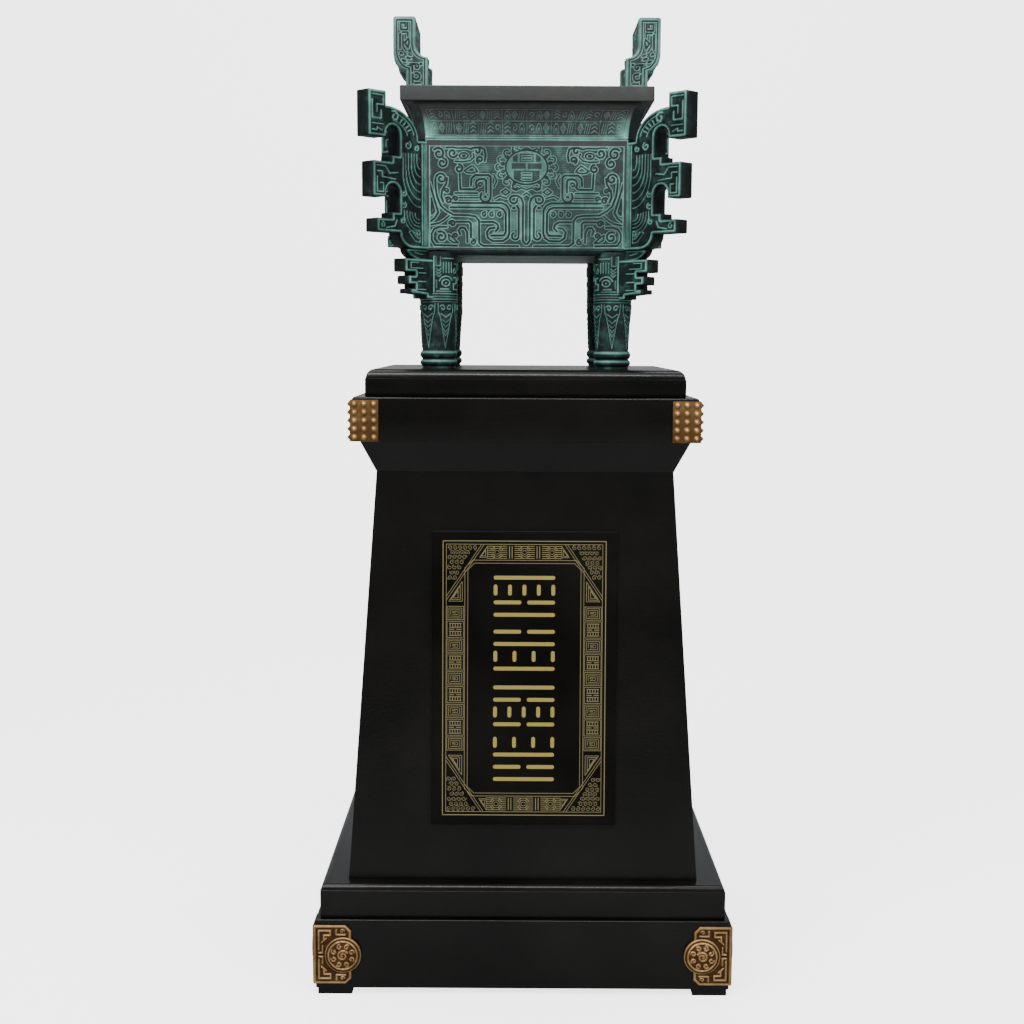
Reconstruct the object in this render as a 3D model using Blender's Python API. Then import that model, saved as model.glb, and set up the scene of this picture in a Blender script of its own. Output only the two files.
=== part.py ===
"""A four-legged bronze ding standing on its lacquered pedestal, in metres, front towards -Y."""

import math

import bmesh
import bpy
from mathutils import Matrix, Vector, geometry

# Driving sizes of the pedestal
GAP = 0.0003
FOOT_SIDE = 0.053
FOOT_HEIGHT = 0.0107
FOOT_INSET = 0.003
BASE_WIDTH = 0.635
BASE_DEPTH = 0.532
BASE_HEIGHT = 0.109
BASE_EDGE = 0.0015
STEP_SETBACK = 0.007
STEP_HEIGHT = 0.0517
STEP_ROUND = 0.0085
SIDE_LEDGE = 0.041
FRONT_LEDGE = 0.028
SHAFT_HEIGHT = 0.6295
SHAFT_BATTER = 0.0425
FLARE_HEIGHT = 0.0475
FLARE_OUTSET = 0.023
FRIEZE_LIP = 0.010
FRIEZE_HEIGHT = 0.0667
FRIEZE_ROUND = 0.003
SLAB_SETBACK = 0.0175
SLAB_HEIGHT = 0.041
SLAB_ROUND = 0.014
ROUND_STEPS = 4
EDGE_STEPS = 2

# Driving sizes of the panel on the shaft
PANEL_WIDTH = 0.2845
PANEL_HEIGHT = 0.454
PANEL_THICKNESS = 0.006
PANEL_RISE = 0.087
PANEL_EDGE = 0.0012
STROKE_WIDTH = 0.0056
STROKE_RELIEF = 0.0008
SIGN_WIDTH = 0.094
SIGN_HEIGHT = 0.064
SIGN_SPACING = 0.0845
SIGN_COUNT = 4
SIGN_LEVELS = 4
SIGN_SPLIT = 0.0125
SIGN_INDENT = 0.0141
STROKE_CLEARANCE = 0.003
STROKE_END_STEPS = 2

# Driving sizes of the gilt corner fittings
PLATE_THICKNESS = 0.0032
STUD_PLATE_ARM = 0.043
STUD_PLATE_HEIGHT = 0.0625
STUD_PLATE_DROP = 0.0042
STUD_COLUMNS = 3
STUD_ROWS = 5
STUD_HEIGHT = 0.0042
BOSS_PLATE_ARM = 0.059
BOSS_PLATE_HEIGHT = 0.094
BOSS_PLATE_CHAMFER = 0.009
BOSS_RADIUS = 0.028
BOSS_FROM_CORNER = 0.046
BOSS_RIM = 0.0062
BOSS_STEP = 0.0023
BOSS_DOME = 0.0029
BOSS_SIDES = 14

# Driving sizes of the ding, heights counted from the soles of its legs
BODY_WIDTH = 0.3464
BODY_DEPTH = 0.283
BODY_TAPER = 0.00375
CORNER_FACET = 0.0187
UNDERSIDE = 0.1736
UNDERSIDE_CHAMFER = (0.014, 0.0084)
BODY_TOP = 0.3475
NECK_TOP = 0.4015
NECK_FLARE = 0.0145
NECK_STEPS = 4
RIM_OVERHANG = 0.0185
RIM_THICKNESS = 0.0225
RIM_WIDTH = 0.037
RIM_CORNER = 0.002
WALL = 0.009
FLOOR_THICKNESS = 0.010
FLOOR_CHAMFER = 0.012
INNER_FACET = 0.022

EAR_INNER_FACE = 0.155
EAR_THICKNESS = 0.0335
EAR_DEPTH = 0.130
EAR_HEIGHT = 0.1205
EAR_LEAN = 0.0195
EAR_BEND_INNER = (0.058, 0.079)
EAR_BEND_OUTER = (0.038, 0.066)
EAR_BEND_SHARES = (0.0, 0.07, 0.25, 0.55, 1.0)
EAR_SLOT_WIDTH = 0.062
EAR_SLOT_HEIGHT = 0.080
EAR_CORNER = 0.006
EAR_ROOT = 0.006
ARCH_STEPS = 6

LEG_FROM_SIDE = 0.0377
LEG_FROM_FRONT = 0.031
LEG_RADIUS_TOP = 0.0295
LEG_RADIUS_LOW = 0.0255
LEG_RING_RADIUS = 0.0285
LEG_FOOT_RADIUS = 0.0262
LEG_SWELL = 0.1076
LEG_HEAD_ROUND = 0.004
LEG_SIDES = 12
LEG_RINGS = ((0.0046, 0.0134), (0.0160, 0.0267))
RING_ARC_STEPS = 1

FLANGE_THICKNESS = 0.0288
FLANGE_ROOT = 0.008
FLANGE_BASE = 0.1815
FLANGE_BASE_REACH = 0.0243
FLANGE_SPINE = 0.0512
FLANGE_STEP_REACH = 0.066
FLANGE_STEP_RISE = 0.0095
HOOK_INNER = 0.0775
LOW_HOOK = (0.204, 0.2241, 0.0955)
MIDDLE_HOOK = (0.2555, 0.3073, 0.103)
TOP_HOOK = (0.3425, 0.4092, 0.1115)
TOP_HOOK_EDGE = 0.077
TOP_HOOK_NECK = 0.3885
LOW_NOTCH_TOP = 0.2755
TOP_NOTCH_TOP = 0.3605
ARM_SHOULDER = (0.014, 0.3432)
ARC_STEPS = 6
TAIL_REACH = 0.034
TAIL_DROP = 0.019
TAIL_ROOT = 0.020
TAIL_OVERLAP = 0.001
TAIL_THICKNESS = 0.018

LEG_FLANGE_ROOT = 0.012
LEG_FLANGE_BASE = 0.1065
LEG_FLANGE_NUB = (0.112, 0.0375)
LEG_FLANGE_SPINE = 0.06
LEG_FLANGE_TEETH = ((0.114, 0.1213, 0.069), (0.128, 0.141, 0.0735), (0.1465, 0.1665, 0.0805))

# Driving sizes of the raised carving on the four faces of the body
RELIEF_RISE = 0.003
CARVING_LOW = 0.0035
CARVING_MARGIN = 0.0075
CARVING_HALF_WIDTH = 0.147
RING_RADIUS = 0.042
RING_INNER_RADIUS = 0.033
RING_CENTRE = 0.1155
RING_BLOCK = 0.044
RIB_WIDTH = 0.0045
RIB_PITCH = 0.0072
RIB_SPAN = (0.010, 0.0700)
BAND_WIDTH = 0.0046
RING_SIDES = 16
CURL_SIDES = 8

BRONZE = ("patinated_bronze", (0.10, 0.15, 0.13), 0.52, 0.75)
LACQUER = ("black_lacquer", (0.020, 0.018, 0.016), 0.28, 0.0)
PANEL = ("panel_lacquer", (0.022, 0.019, 0.017), 0.38, 0.0)
GILT = ("gilt_bronze", (0.56, 0.36, 0.17), 0.36, 0.95)

CORNERS = (("front_left", -1, -1), ("front_right", 1, -1), ("rear_left", -1, 1), ("rear_right", 1, 1))


def clear_scene():
    for obj in list(bpy.data.objects):
        bpy.data.objects.remove(obj, do_unlink=True)


def material(look):
    name, colour, roughness, metallic = look
    made = bpy.data.materials.get(name) or bpy.data.materials.new(name)
    made.use_nodes = True
    shader = made.node_tree.nodes["Principled BSDF"]
    shader.inputs["Base Color"].default_value = (*colour, 1.0)
    shader.inputs["Roughness"].default_value = roughness
    shader.inputs["Metallic"].default_value = metallic
    return made


def solid(name, bm, look, sharp_angle=35.0):
    """Turns a bmesh into a named object with outward faces and its own material."""
    bmesh.ops.recalc_face_normals(bm, faces=bm.faces)
    if bm.calc_volume(signed=True) < 0.0:
        bmesh.ops.reverse_faces(bm, faces=bm.faces)
    mesh = bpy.data.meshes.new(name)
    bm.to_mesh(mesh)
    bm.free()
    mesh.materials.append(material(look))
    mesh.shade_smooth()
    mesh.set_sharp_from_angle(angle=math.radians(sharp_angle))
    obj = bpy.data.objects.new(name, mesh)
    bpy.context.scene.collection.objects.link(obj)
    return obj


def helper(name, bm, look):
    """A solid that only joins or cuts another one."""
    obj = solid(name, bm, look)
    obj.hide_render = True
    obj.display_type = "WIRE"
    return obj


def join(target, other):
    """Unites target with other by an exact Boolean, and hides other from the model."""
    modifier = target.modifiers.new("join_" + other.name, "BOOLEAN")
    modifier.operation = "UNION"
    modifier.object = other


# Shapes that several pieces share
def loft(bm, rings):
    """Skins a row of closed rings, each with the same number of points, and caps both ends."""
    rows = [[bm.verts.new(point) for point in ring] for ring in rings]
    count = len(rows[0])
    for low, high in zip(rows, rows[1:]):
        for i in range(count):
            j = (i + 1) % count
            bm.faces.new((low[i], low[j], high[j], high[i]))
    bm.faces.new(rows[0][::-1])
    bm.faces.new(rows[-1])


def rectangle(half_width, half_depth, z, facet=0.0):
    """A level rectangle, with its corners cut off at 45 degrees where it has a facet."""
    points = []
    for sx, sy in ((1, 1), (-1, 1), (-1, -1), (1, -1)):
        ends = [(half_width, half_depth - facet), (half_width - facet, half_depth)]
        if not facet:
            ends = ends[:1]
        if sx * sy < 0:
            ends.reverse()
        points += [(sx * x, sy * y, z) for x, y in ends]
    return points


def arc(cx, cy, rx, ry, start, end, steps):
    """Points on an ellipse from start to end, in degrees."""
    angles = [math.radians(start + (end - start) * i / steps) for i in range(steps + 1)]
    return [(cx + rx * math.cos(a), cy + ry * math.sin(a)) for a in angles]


def prism(bm, outline, near, far, place):
    """Extrudes a flat outline from near to far along the third axis of place."""
    rings = [[place @ Vector((u, v, w)) for u, v in outline] for w in (near, far)]
    loft(bm, rings)


def box(bm, width, depth, low, high, centre=(0.0, 0.0)):
    cx, cy = centre
    rings = []
    for z in (low, high):
        rings.append([(x + cx, y + cy, z) for x, y, _ in rectangle(width / 2, depth / 2, z)])
    loft(bm, rings)


def round_top_edges(bm, top, radius, steps):
    """Turns the square edges round a level top into a quarter-round moulding."""
    edges = [e for e in bm.edges if all(abs(v.co.z - top) < 1e-6 for v in e.verts)]
    bmesh.ops.bevel(
        bm, geom=edges, offset=radius, segments=steps, profile=0.5, affect="EDGES", clamp_overlap=True
    )


# Pedestal
def pedestal_feet():
    for name, sx, sy in CORNERS:
        bm = bmesh.new()
        centre = (
            sx * (BASE_WIDTH / 2 - FOOT_INSET - FOOT_SIDE / 2),
            sy * (BASE_DEPTH / 2 - FOOT_INSET - FOOT_SIDE / 2),
        )
        box(bm, FOOT_SIDE, FOOT_SIDE, 0.0, FOOT_HEIGHT, centre)
        solid("foot_" + name, bm, LACQUER)
    return FOOT_HEIGHT


def pedestal_base(low):
    bm = bmesh.new()
    box(bm, BASE_WIDTH, BASE_DEPTH, low, low + BASE_HEIGHT)
    bmesh.ops.bevel(
        bm, geom=bm.edges[:], offset=BASE_EDGE, segments=EDGE_STEPS, profile=0.5, affect="EDGES"
    )
    solid("pedestal_base_block", bm, LACQUER)
    return low + BASE_HEIGHT


STEP_WIDTH = BASE_WIDTH - 2 * STEP_SETBACK
STEP_DEPTH = BASE_DEPTH - 2 * STEP_SETBACK
SHAFT_WIDTH = STEP_WIDTH - 2 * SIDE_LEDGE
SHAFT_DEPTH = STEP_DEPTH - 2 * FRONT_LEDGE
SHAFT_TOP_WIDTH = SHAFT_WIDTH - 2 * SHAFT_BATTER
SHAFT_TOP_DEPTH = SHAFT_DEPTH - 2 * SHAFT_BATTER
FLARE_WIDTH = SHAFT_TOP_WIDTH + 2 * FLARE_OUTSET
FLARE_DEPTH = SHAFT_TOP_DEPTH + 2 * FLARE_OUTSET
FRIEZE_WIDTH = FLARE_WIDTH + 2 * FRIEZE_LIP
FRIEZE_DEPTH = FLARE_DEPTH + 2 * FRIEZE_LIP
SLAB_WIDTH = FRIEZE_WIDTH - 2 * SLAB_SETBACK
SLAB_DEPTH = FRIEZE_DEPTH - 2 * SLAB_SETBACK


def pedestal_step(low):
    bm = bmesh.new()
    top = low + STEP_HEIGHT
    box(bm, STEP_WIDTH, STEP_DEPTH, low, top)
    round_top_edges(bm, top, STEP_ROUND, ROUND_STEPS)
    solid("pedestal_step", bm, LACQUER)
    return top


def pedestal_shaft(low):
    bm = bmesh.new()
    top = low + SHAFT_HEIGHT
    loft(bm, [
        rectangle(SHAFT_WIDTH / 2, SHAFT_DEPTH / 2, low),
        rectangle(SHAFT_TOP_WIDTH / 2, SHAFT_TOP_DEPTH / 2, top),
    ])
    solid("pedestal_shaft", bm, LACQUER)
    return top


def pedestal_frieze(low):
    """The flare above the shaft and the plain block that carries the slab, cut from one piece."""
    bm = bmesh.new()
    block = low + FLARE_HEIGHT
    top = block + FRIEZE_HEIGHT
    rings = [
        rectangle(SHAFT_TOP_WIDTH / 2, SHAFT_TOP_DEPTH / 2, low),
        rectangle(FLARE_WIDTH / 2, FLARE_DEPTH / 2, block),
        rectangle(FRIEZE_WIDTH / 2, FRIEZE_DEPTH / 2, block),
        rectangle(FRIEZE_WIDTH / 2, FRIEZE_DEPTH / 2, top),
    ]
    loft(bm, rings)
    round_top_edges(bm, top, FRIEZE_ROUND, EDGE_STEPS)
    solid("pedestal_frieze", bm, LACQUER)
    return top


def pedestal_slab(low):
    bm = bmesh.new()
    top = low + SLAB_HEIGHT
    box(bm, SLAB_WIDTH, SLAB_DEPTH, low, top)
    round_top_edges(bm, top, SLAB_ROUND, ROUND_STEPS)
    solid("pedestal_top_slab", bm, LACQUER)
    return top


# Panel leaning on the front of the shaft
def bar(u, v, length, upright=False):
    """A rounded stroke centred on (u, v) as a closed outline."""
    r = STROKE_WIDTH / 2
    run = length / 2 - r
    points = arc(run, 0.0, r, r, -90, 90, STROKE_END_STEPS) + arc(-run, 0.0, r, r, 90, 270, STROKE_END_STEPS)
    if upright:
        points = [(-y, x) for x, y in points]
    return [(u + x, v + y) for x, y in points]


def sign_strokes(kind, v):
    """One group of plain strokes, a stack of bars with short uprights between them."""
    row = SIGN_HEIGHT / SIGN_LEVELS
    level = [v + row * i - SIGN_HEIGHT / 2 for i in range(SIGN_LEVELS + 1)]
    if kind % 2:
        short_bar = (SIGN_WIDTH - SIGN_SPLIT) / 2
        outlines = [bar(0.0, height, SIGN_WIDTH) for height in level[::2]]
        for side in (-1, 1):
            for height in level[1::2]:
                outlines.append(bar(side * (SIGN_WIDTH - short_bar) / 2, height, short_bar))
        return outlines
    upright = row - STROKE_WIDTH - STROKE_CLEARANCE
    outlines = [bar(0.0, height, SIGN_WIDTH) for height in level[1::2]]
    for side in (-1, 0, 1):
        for height in (level[0] + STROKE_WIDTH / 2, *level[2:-1:2], level[-1] - STROKE_WIDTH / 2):
            outlines.append(bar(side * (SIGN_WIDTH / 2 - SIGN_INDENT), height, upright, True))
    return outlines


def inscription_panel(shaft_low):
    """A thin board parallel to the leaning front, with four groups of shallow strokes."""
    lean = math.atan2(SHAFT_BATTER, SHAFT_HEIGHT)
    place = (
        Matrix.Translation((0.0, -SHAFT_DEPTH / 2, shaft_low))
        @ Matrix.Rotation(math.radians(90.0) - lean, 4, "X")
    )
    low = PANEL_RISE
    half = PANEL_WIDTH / 2
    front = GAP + PANEL_THICKNESS
    board = [(-half, low), (half, low), (half, low + PANEL_HEIGHT), (-half, low + PANEL_HEIGHT)]
    bm = bmesh.new()
    prism(bm, board, GAP, front, place)
    bmesh.ops.recalc_face_normals(bm, faces=bm.faces)
    bmesh.ops.bevel(
        bm, geom=bm.edges[:], offset=PANEL_EDGE, segments=EDGE_STEPS, profile=0.5, affect="EDGES"
    )
    panel = solid("inscription_panel", bm, PANEL)
    strokes = bmesh.new()
    middle = low + PANEL_HEIGHT / 2
    for i in range(SIGN_COUNT):
        v = middle + SIGN_SPACING * ((SIGN_COUNT - 1) / 2 - i)
        for outline in sign_strokes(i, v):
            prism(strokes, outline, front - PANEL_THICKNESS / 2, front + STROKE_RELIEF, place)
    join(panel, helper("inscription_strokes", strokes, GILT))


# Gilt corner fittings
def mirrored(bm, sx, sy):
    for vert in bm.verts:
        vert.co.x *= sx
        vert.co.y *= sy


def corner_plan(width, depth, arm, columns):
    """An angle plate seen from above, round the corner at +X and -Y, its outer edges in columns."""
    x = width / 2 + GAP + PLATE_THICKNESS
    y = -(depth / 2 + GAP + PLATE_THICKNESS)
    front = [(x - arm * (columns - i) / columns, y) for i in range(columns + 1)]
    side = [(x, y + arm * i / columns) for i in range(1, columns + 1)]
    inner = [
        (x - PLATE_THICKNESS, y + arm),
        (x - PLATE_THICKNESS, y + PLATE_THICKNESS),
        (x - arm, y + PLATE_THICKNESS),
    ]
    return front + side + inner


def studded_fitting(name, sx, sy, block_top):
    """An angle plate with rows of pointed studs on both outer faces."""
    bm = bmesh.new()
    plan = corner_plan(FRIEZE_WIDTH, FRIEZE_DEPTH, STUD_PLATE_ARM, STUD_COLUMNS)
    top = block_top - STUD_PLATE_DROP
    levels = [top - STUD_PLATE_HEIGHT * i / STUD_ROWS for i in range(STUD_ROWS, -1, -1)]
    loft(bm, [[(x, y, z) for x, y in plan] for z in levels])
    bmesh.ops.recalc_face_normals(bm, faces=bm.faces)
    corner_x, corner_y = plan[STUD_COLUMNS]
    outer = []
    for face in bm.faces:
        centre = face.calc_center_median()
        on_front = abs(centre.y - corner_y) < 1e-5 and abs(face.normal.y) > 0.5
        on_side = abs(centre.x - corner_x) < 1e-5 and abs(face.normal.x) > 0.5
        if on_front or on_side:
            outer.append(face)
    bmesh.ops.poke(bm, faces=outer, offset=STUD_HEIGHT)
    mirrored(bm, sx, -sy)
    solid("studded_corner_" + name, bm, GILT, 20.0)


def chamfer_arm(bm, corner, outward, z_level, z_sign):
    """Cuts the far upper or lower corner off one arm of an angle plate."""
    normal = (outward + Vector((0.0, 0.0, z_sign))).normalized()
    point = Vector((corner.x, corner.y, z_level)) - Vector((0.0, 0.0, z_sign * BOSS_PLATE_CHAMFER))
    cut = bmesh.ops.bisect_plane(
        bm, geom=bm.verts[:] + bm.edges[:] + bm.faces[:], plane_co=point, plane_no=normal, clear_outer=True
    )
    rim = [e for e in cut["geom_cut"] if isinstance(e, bmesh.types.BMEdge)]
    bmesh.ops.contextual_create(bm, geom=rim)


def boss(bm, centre, outward, back, face):
    """A round boss with a stepped rim and a low dome, its flat back on the block."""
    across = Vector((0.0, 0.0, 1.0)).cross(outward)
    turn = Matrix((across, Vector((0.0, 0.0, 1.0)), outward)).transposed().to_4x4()
    place = Matrix.Translation(centre) @ turn
    dome = BOSS_RADIUS - BOSS_RIM
    step = face + BOSS_STEP
    profile = [(BOSS_RADIUS, back), (BOSS_RADIUS, step), (dome, step)]
    profile += arc(0.0, step, dome, BOSS_DOME, 35, 80, 2)
    rings = []
    for radius, rise in profile:
        circle = arc(0.0, 0.0, radius, radius, 0, 360, BOSS_SIDES)[:-1]
        rings.append([place @ Vector((u, v, rise)) for u, v in circle])
    loft(bm, rings)


def bossed_fitting(name, sx, sy, block_low):
    """A chamfered angle plate with a round boss on each arm."""
    bm = bmesh.new()
    plan = corner_plan(BASE_WIDTH, BASE_DEPTH, BOSS_PLATE_ARM, 1)
    middle = block_low + BASE_HEIGHT / 2
    low = middle - BOSS_PLATE_HEIGHT / 2
    high = middle + BOSS_PLATE_HEIGHT / 2
    loft(bm, [[(x, y, z) for x, y in plan] for z in (low, high)])
    front_end = Vector((*plan[0], 0.0))
    side_end = Vector((*plan[2], 0.0))
    for z_level, z_sign in ((low, -1.0), (high, 1.0)):
        chamfer_arm(bm, front_end, Vector((-1.0, 0.0, 0.0)), z_level, z_sign)
        chamfer_arm(bm, side_end, Vector((0.0, 1.0, 0.0)), z_level, z_sign)
    mirrored(bm, sx, -sy)
    plate = solid("bossed_corner_" + name, bm, GILT)
    bosses = bmesh.new()
    corner_x, corner_y = plan[1]
    back = -PLATE_THICKNESS
    front_centre = Vector((corner_x - BOSS_FROM_CORNER, corner_y, middle))
    side_centre = Vector((corner_x, corner_y + BOSS_FROM_CORNER, middle))
    boss(bosses, front_centre, Vector((0.0, -1.0, 0.0)), back, 0.0)
    boss(bosses, side_centre, Vector((1.0, 0.0, 0.0)), back, 0.0)
    mirrored(bosses, sx, -sy)
    join(plate, helper("bosses_" + name, bosses, GILT))


# Ding
BODY_HALF = Vector((BODY_WIDTH / 2, BODY_DEPTH / 2))
RIM_TOP = NECK_TOP + RIM_THICKNESS


def ding_shell(floor):
    """The hollow body: underside, walls, flared neck, rim, and the inside down to its floor."""

    def ring(outset, height, facet):
        return rectangle(BODY_HALF.x + outset, BODY_HALF.y + outset, floor + height, facet)

    chamfer_in, chamfer_up = UNDERSIDE_CHAMFER
    rings = [
        ring(-BODY_TAPER - chamfer_in, UNDERSIDE, CORNER_FACET),
        ring(-BODY_TAPER, UNDERSIDE + chamfer_up, CORNER_FACET),
        ring(0.0, BODY_TOP, CORNER_FACET),
    ]
    for outset, height in arc(NECK_FLARE, BODY_TOP, NECK_FLARE, NECK_TOP - BODY_TOP, 180, 90, NECK_STEPS)[1:]:
        rings.append(ring(outset, height, CORNER_FACET))
    inner_low = UNDERSIDE + FLOOR_THICKNESS
    rings += [
        ring(RIM_OVERHANG, NECK_TOP, RIM_CORNER),
        ring(RIM_OVERHANG, RIM_TOP, RIM_CORNER),
        ring(RIM_OVERHANG - RIM_WIDTH, RIM_TOP, INNER_FACET),
        ring(RIM_OVERHANG - RIM_WIDTH, NECK_TOP, INNER_FACET),
        ring(-WALL, BODY_TOP, INNER_FACET),
        ring(-WALL - BODY_TAPER, inner_low + FLOOR_CHAMFER, INNER_FACET),
        ring(-WALL - BODY_TAPER - FLOOR_CHAMFER, inner_low, INNER_FACET),
    ]
    bm = bmesh.new()
    loft(bm, rings)
    bmesh.ops.recalc_face_normals(bm, faces=bm.faces)
    for turn, half_width, distance, plain in (
        (0.0, BODY_HALF.x, BODY_HALF.y, False),
        (180.0, BODY_HALF.x, BODY_HALF.y, False),
        (90.0, BODY_HALF.y, BODY_HALF.x, True),
        (270.0, BODY_HALF.y, BODY_HALF.x, True),
    ):
        carve_face(bm, face_place(turn, distance, floor), half_width, plain)
    return solid("ding_vessel", bm, BRONZE)


def ding_ears(floor):
    """Two upright arches on the short sides of the rim, bent outwards at half height."""
    bm = bmesh.new()
    half = EAR_DEPTH / 2
    slot = EAR_SLOT_WIDTH / 2
    low = RIM_TOP - EAR_ROOT
    high = RIM_TOP + EAR_HEIGHT
    spring = RIM_TOP + EAR_SLOT_HEIGHT - slot
    arch = [(-half, low)]
    arch += arc(-half + EAR_CORNER, high - EAR_CORNER, EAR_CORNER, EAR_CORNER, 180, 90, EDGE_STEPS)
    arch += arc(half - EAR_CORNER, high - EAR_CORNER, EAR_CORNER, EAR_CORNER, 90, 0, EDGE_STEPS)
    arch += [(half, low), (slot, low)]
    arch += arc(0.0, spring, slot, slot, 0, 180, ARCH_STEPS)
    arch += [(-slot, low)]
    upright = Matrix(((0, 0, 1, 0), (1, 0, 0, 0), (0, 1, 0, floor), (0, 0, 0, 1)))
    for side in (-1, 1):
        prism(bm, arch, side * EAR_INNER_FACE, side * (EAR_INNER_FACE + EAR_THICKNESS), upright)
    rim = floor + RIM_TOP
    for bend_low, bend_high in (EAR_BEND_OUTER, EAR_BEND_INNER):
        for share in EAR_BEND_SHARES:
            level = rim + bend_low + (bend_high - bend_low) * share
            geometry = bm.verts[:] + bm.edges[:] + bm.faces[:]
            bmesh.ops.bisect_plane(bm, geom=geometry, plane_co=(0, 0, level), plane_no=(0, 0, 1))
    middle = EAR_INNER_FACE + EAR_THICKNESS / 2
    for vert in bm.verts:
        bend_low, bend_high = EAR_BEND_OUTER if abs(vert.co.x) > middle else EAR_BEND_INNER
        share = (vert.co.z - rim - bend_low) / (bend_high - bend_low)
        share = min(max(share, 0.0), 1.0)
        lean = EAR_LEAN * math.sqrt(1 - (1 - share) ** 2)
        vert.co.x += math.copysign(lean, vert.co.x)
    bmesh.ops.triangulate(bm, faces=bm.faces)
    return helper("ding_ears", bm, BRONZE)


def leg_profile():
    """Radius and height up one leg: foot, two half-round rings, swelling shank."""
    profile = [(LEG_FOOT_RADIUS, 0.0)]
    for low, high in LEG_RINGS:
        middle = (low + high) / 2
        swell = LEG_RING_RADIUS - LEG_FOOT_RADIUS
        profile += arc(LEG_FOOT_RADIUS, middle, swell, (high - low) / 2, -90, 90, 2 * RING_ARC_STEPS)
    profile[-1] = (LEG_RADIUS_LOW, profile[-1][1])
    top = UNDERSIDE + FLOOR_THICKNESS / 2
    profile += [(LEG_RADIUS_TOP, LEG_SWELL), (LEG_RADIUS_TOP, top - LEG_HEAD_ROUND)]
    profile.append((LEG_RADIUS_TOP - LEG_HEAD_ROUND, top))
    return profile


def leg_centre(sx, sy):
    x = sx * (BODY_HALF.x - LEG_FROM_SIDE)
    y = sy * (BODY_HALF.y - LEG_FROM_FRONT)
    return x, y


def ding_legs(floor):
    bm = bmesh.new()
    for _, sx, sy in CORNERS:
        cx, cy = leg_centre(sx, sy)
        rings = []
        for radius, height in leg_profile():
            circle = arc(cx, cy, radius, radius, 0, 360, LEG_SIDES)[:-1]
            rings.append([(x, y, floor + height) for x, y in circle])
        loft(bm, rings)
    return helper("ding_legs", bm, BRONZE)


def diagonal(corner_x, corner_y, sx, sy, floor):
    """Maps (reach, height, across) of a corner plate to the world."""
    out = Vector((sx, sy, 0.0)).normalized()
    up = Vector((0.0, 0.0, 1.0))
    place = Matrix((out, up, out.cross(up))).transposed().to_4x4()
    place.translation = (corner_x, corner_y, floor)
    return place


def notch(top):
    """The round head of a notch, from the spine over to the hook."""
    middle = (FLANGE_SPINE + HOOK_INNER) / 2
    radius = (HOOK_INNER - FLANGE_SPINE) / 2
    return arc(middle, top - radius, radius, radius, 180, 0, ARCH_STEPS)


def flange_outline():
    """One body flange from its root: lower curve, three hooks with notches between, curved arm."""
    low, middle, top = LOW_HOOK, MIDDLE_HOOK, TOP_HOOK
    curve_width = FLANGE_SPINE - FLANGE_BASE_REACH
    curve_height = low[0] - FLANGE_BASE
    outline = [(-FLANGE_ROOT, FLANGE_BASE)]
    outline += arc(FLANGE_BASE_REACH, low[0], curve_width, curve_height, -90, 0, 3)
    outline += [(low[2], low[0]), (low[2], low[1]), (FLANGE_STEP_REACH, low[1])]
    outline += [(FLANGE_STEP_REACH, low[1] + FLANGE_STEP_RISE), (FLANGE_SPINE, low[1] + FLANGE_STEP_RISE)]
    outline += notch(LOW_NOTCH_TOP)
    outline += [(HOOK_INNER, middle[0]), (middle[2], middle[0]), (middle[2], middle[1])]
    outline += [(FLANGE_STEP_REACH, middle[1]), (FLANGE_STEP_REACH, middle[1] + FLANGE_STEP_RISE)]
    outline += [(FLANGE_SPINE, middle[1] + FLANGE_STEP_RISE)]
    outline += notch(TOP_NOTCH_TOP)
    outline += [(HOOK_INNER, top[0]), (top[2], top[0]), (top[2], top[1]), (TOP_HOOK_EDGE, top[1])]
    shoulder_reach, shoulder_height = ARM_SHOULDER
    arm_width = TOP_HOOK_EDGE - shoulder_reach
    arm_height = TOP_HOOK_NECK - shoulder_height
    outline += arc(TOP_HOOK_EDGE, shoulder_height, arm_width, arm_height, 90, 180, ARC_STEPS)
    outline += [(-FLANGE_ROOT, shoulder_height)]
    return outline


def tail_outline():
    """The small curled bracket under a body flange."""
    top = FLANGE_BASE + TAIL_OVERLAP
    outline = [(-TAIL_ROOT, top), (-TAIL_ROOT, top - TAIL_DROP)]
    return outline + arc(0.0, top, TAIL_REACH, TAIL_DROP, -90, 0, 5)


def leg_flange_outline():
    """The upright comb on a leg: a nub below, then three square teeth."""
    nub_top, nub_reach = LEG_FLANGE_NUB
    outline = [(LEG_FLANGE_ROOT, LEG_FLANGE_BASE), (nub_reach, LEG_FLANGE_BASE), (nub_reach, nub_top)]
    for low, high, reach in LEG_FLANGE_TEETH:
        outline += [(LEG_FLANGE_SPINE, low), (reach, low), (reach, high), (LEG_FLANGE_SPINE, high)]
    top = outline.pop()[1]
    return outline + [(LEG_FLANGE_ROOT, top)]


def corner_plates(name, outline, thickness, floor, from_leg=False):
    """The same flat plate on all four diagonals of the vessel."""
    bm = bmesh.new()
    for _, sx, sy in CORNERS:
        facet_x = sx * (BODY_HALF.x - CORNER_FACET / 2)
        facet_y = sy * (BODY_HALF.y - CORNER_FACET / 2)
        cx, cy = leg_centre(sx, sy) if from_leg else (facet_x, facet_y)
        prism(bm, outline, -thickness / 2, thickness / 2, diagonal(cx, cy, sx, sy, floor))
    return helper(name, bm, BRONZE)


# Carving on the body, in each face's own plane: u across from the middle, v up from the lower border
def ribbon(path, width=BAND_WIDTH):
    """A band of even width along an open path, as a closed outline."""
    points = [Vector(p) for p in path]
    left, right = [], []
    for i, point in enumerate(points):
        before = points[max(i - 1, 0)]
        after = points[min(i + 1, len(points) - 1)]
        along = (after - before).normalized()
        across = Vector((-along.y, along.x)) * width / 2
        left.append(tuple(point + across))
        right.append(tuple(point - across))
    return left + right[::-1]


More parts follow.
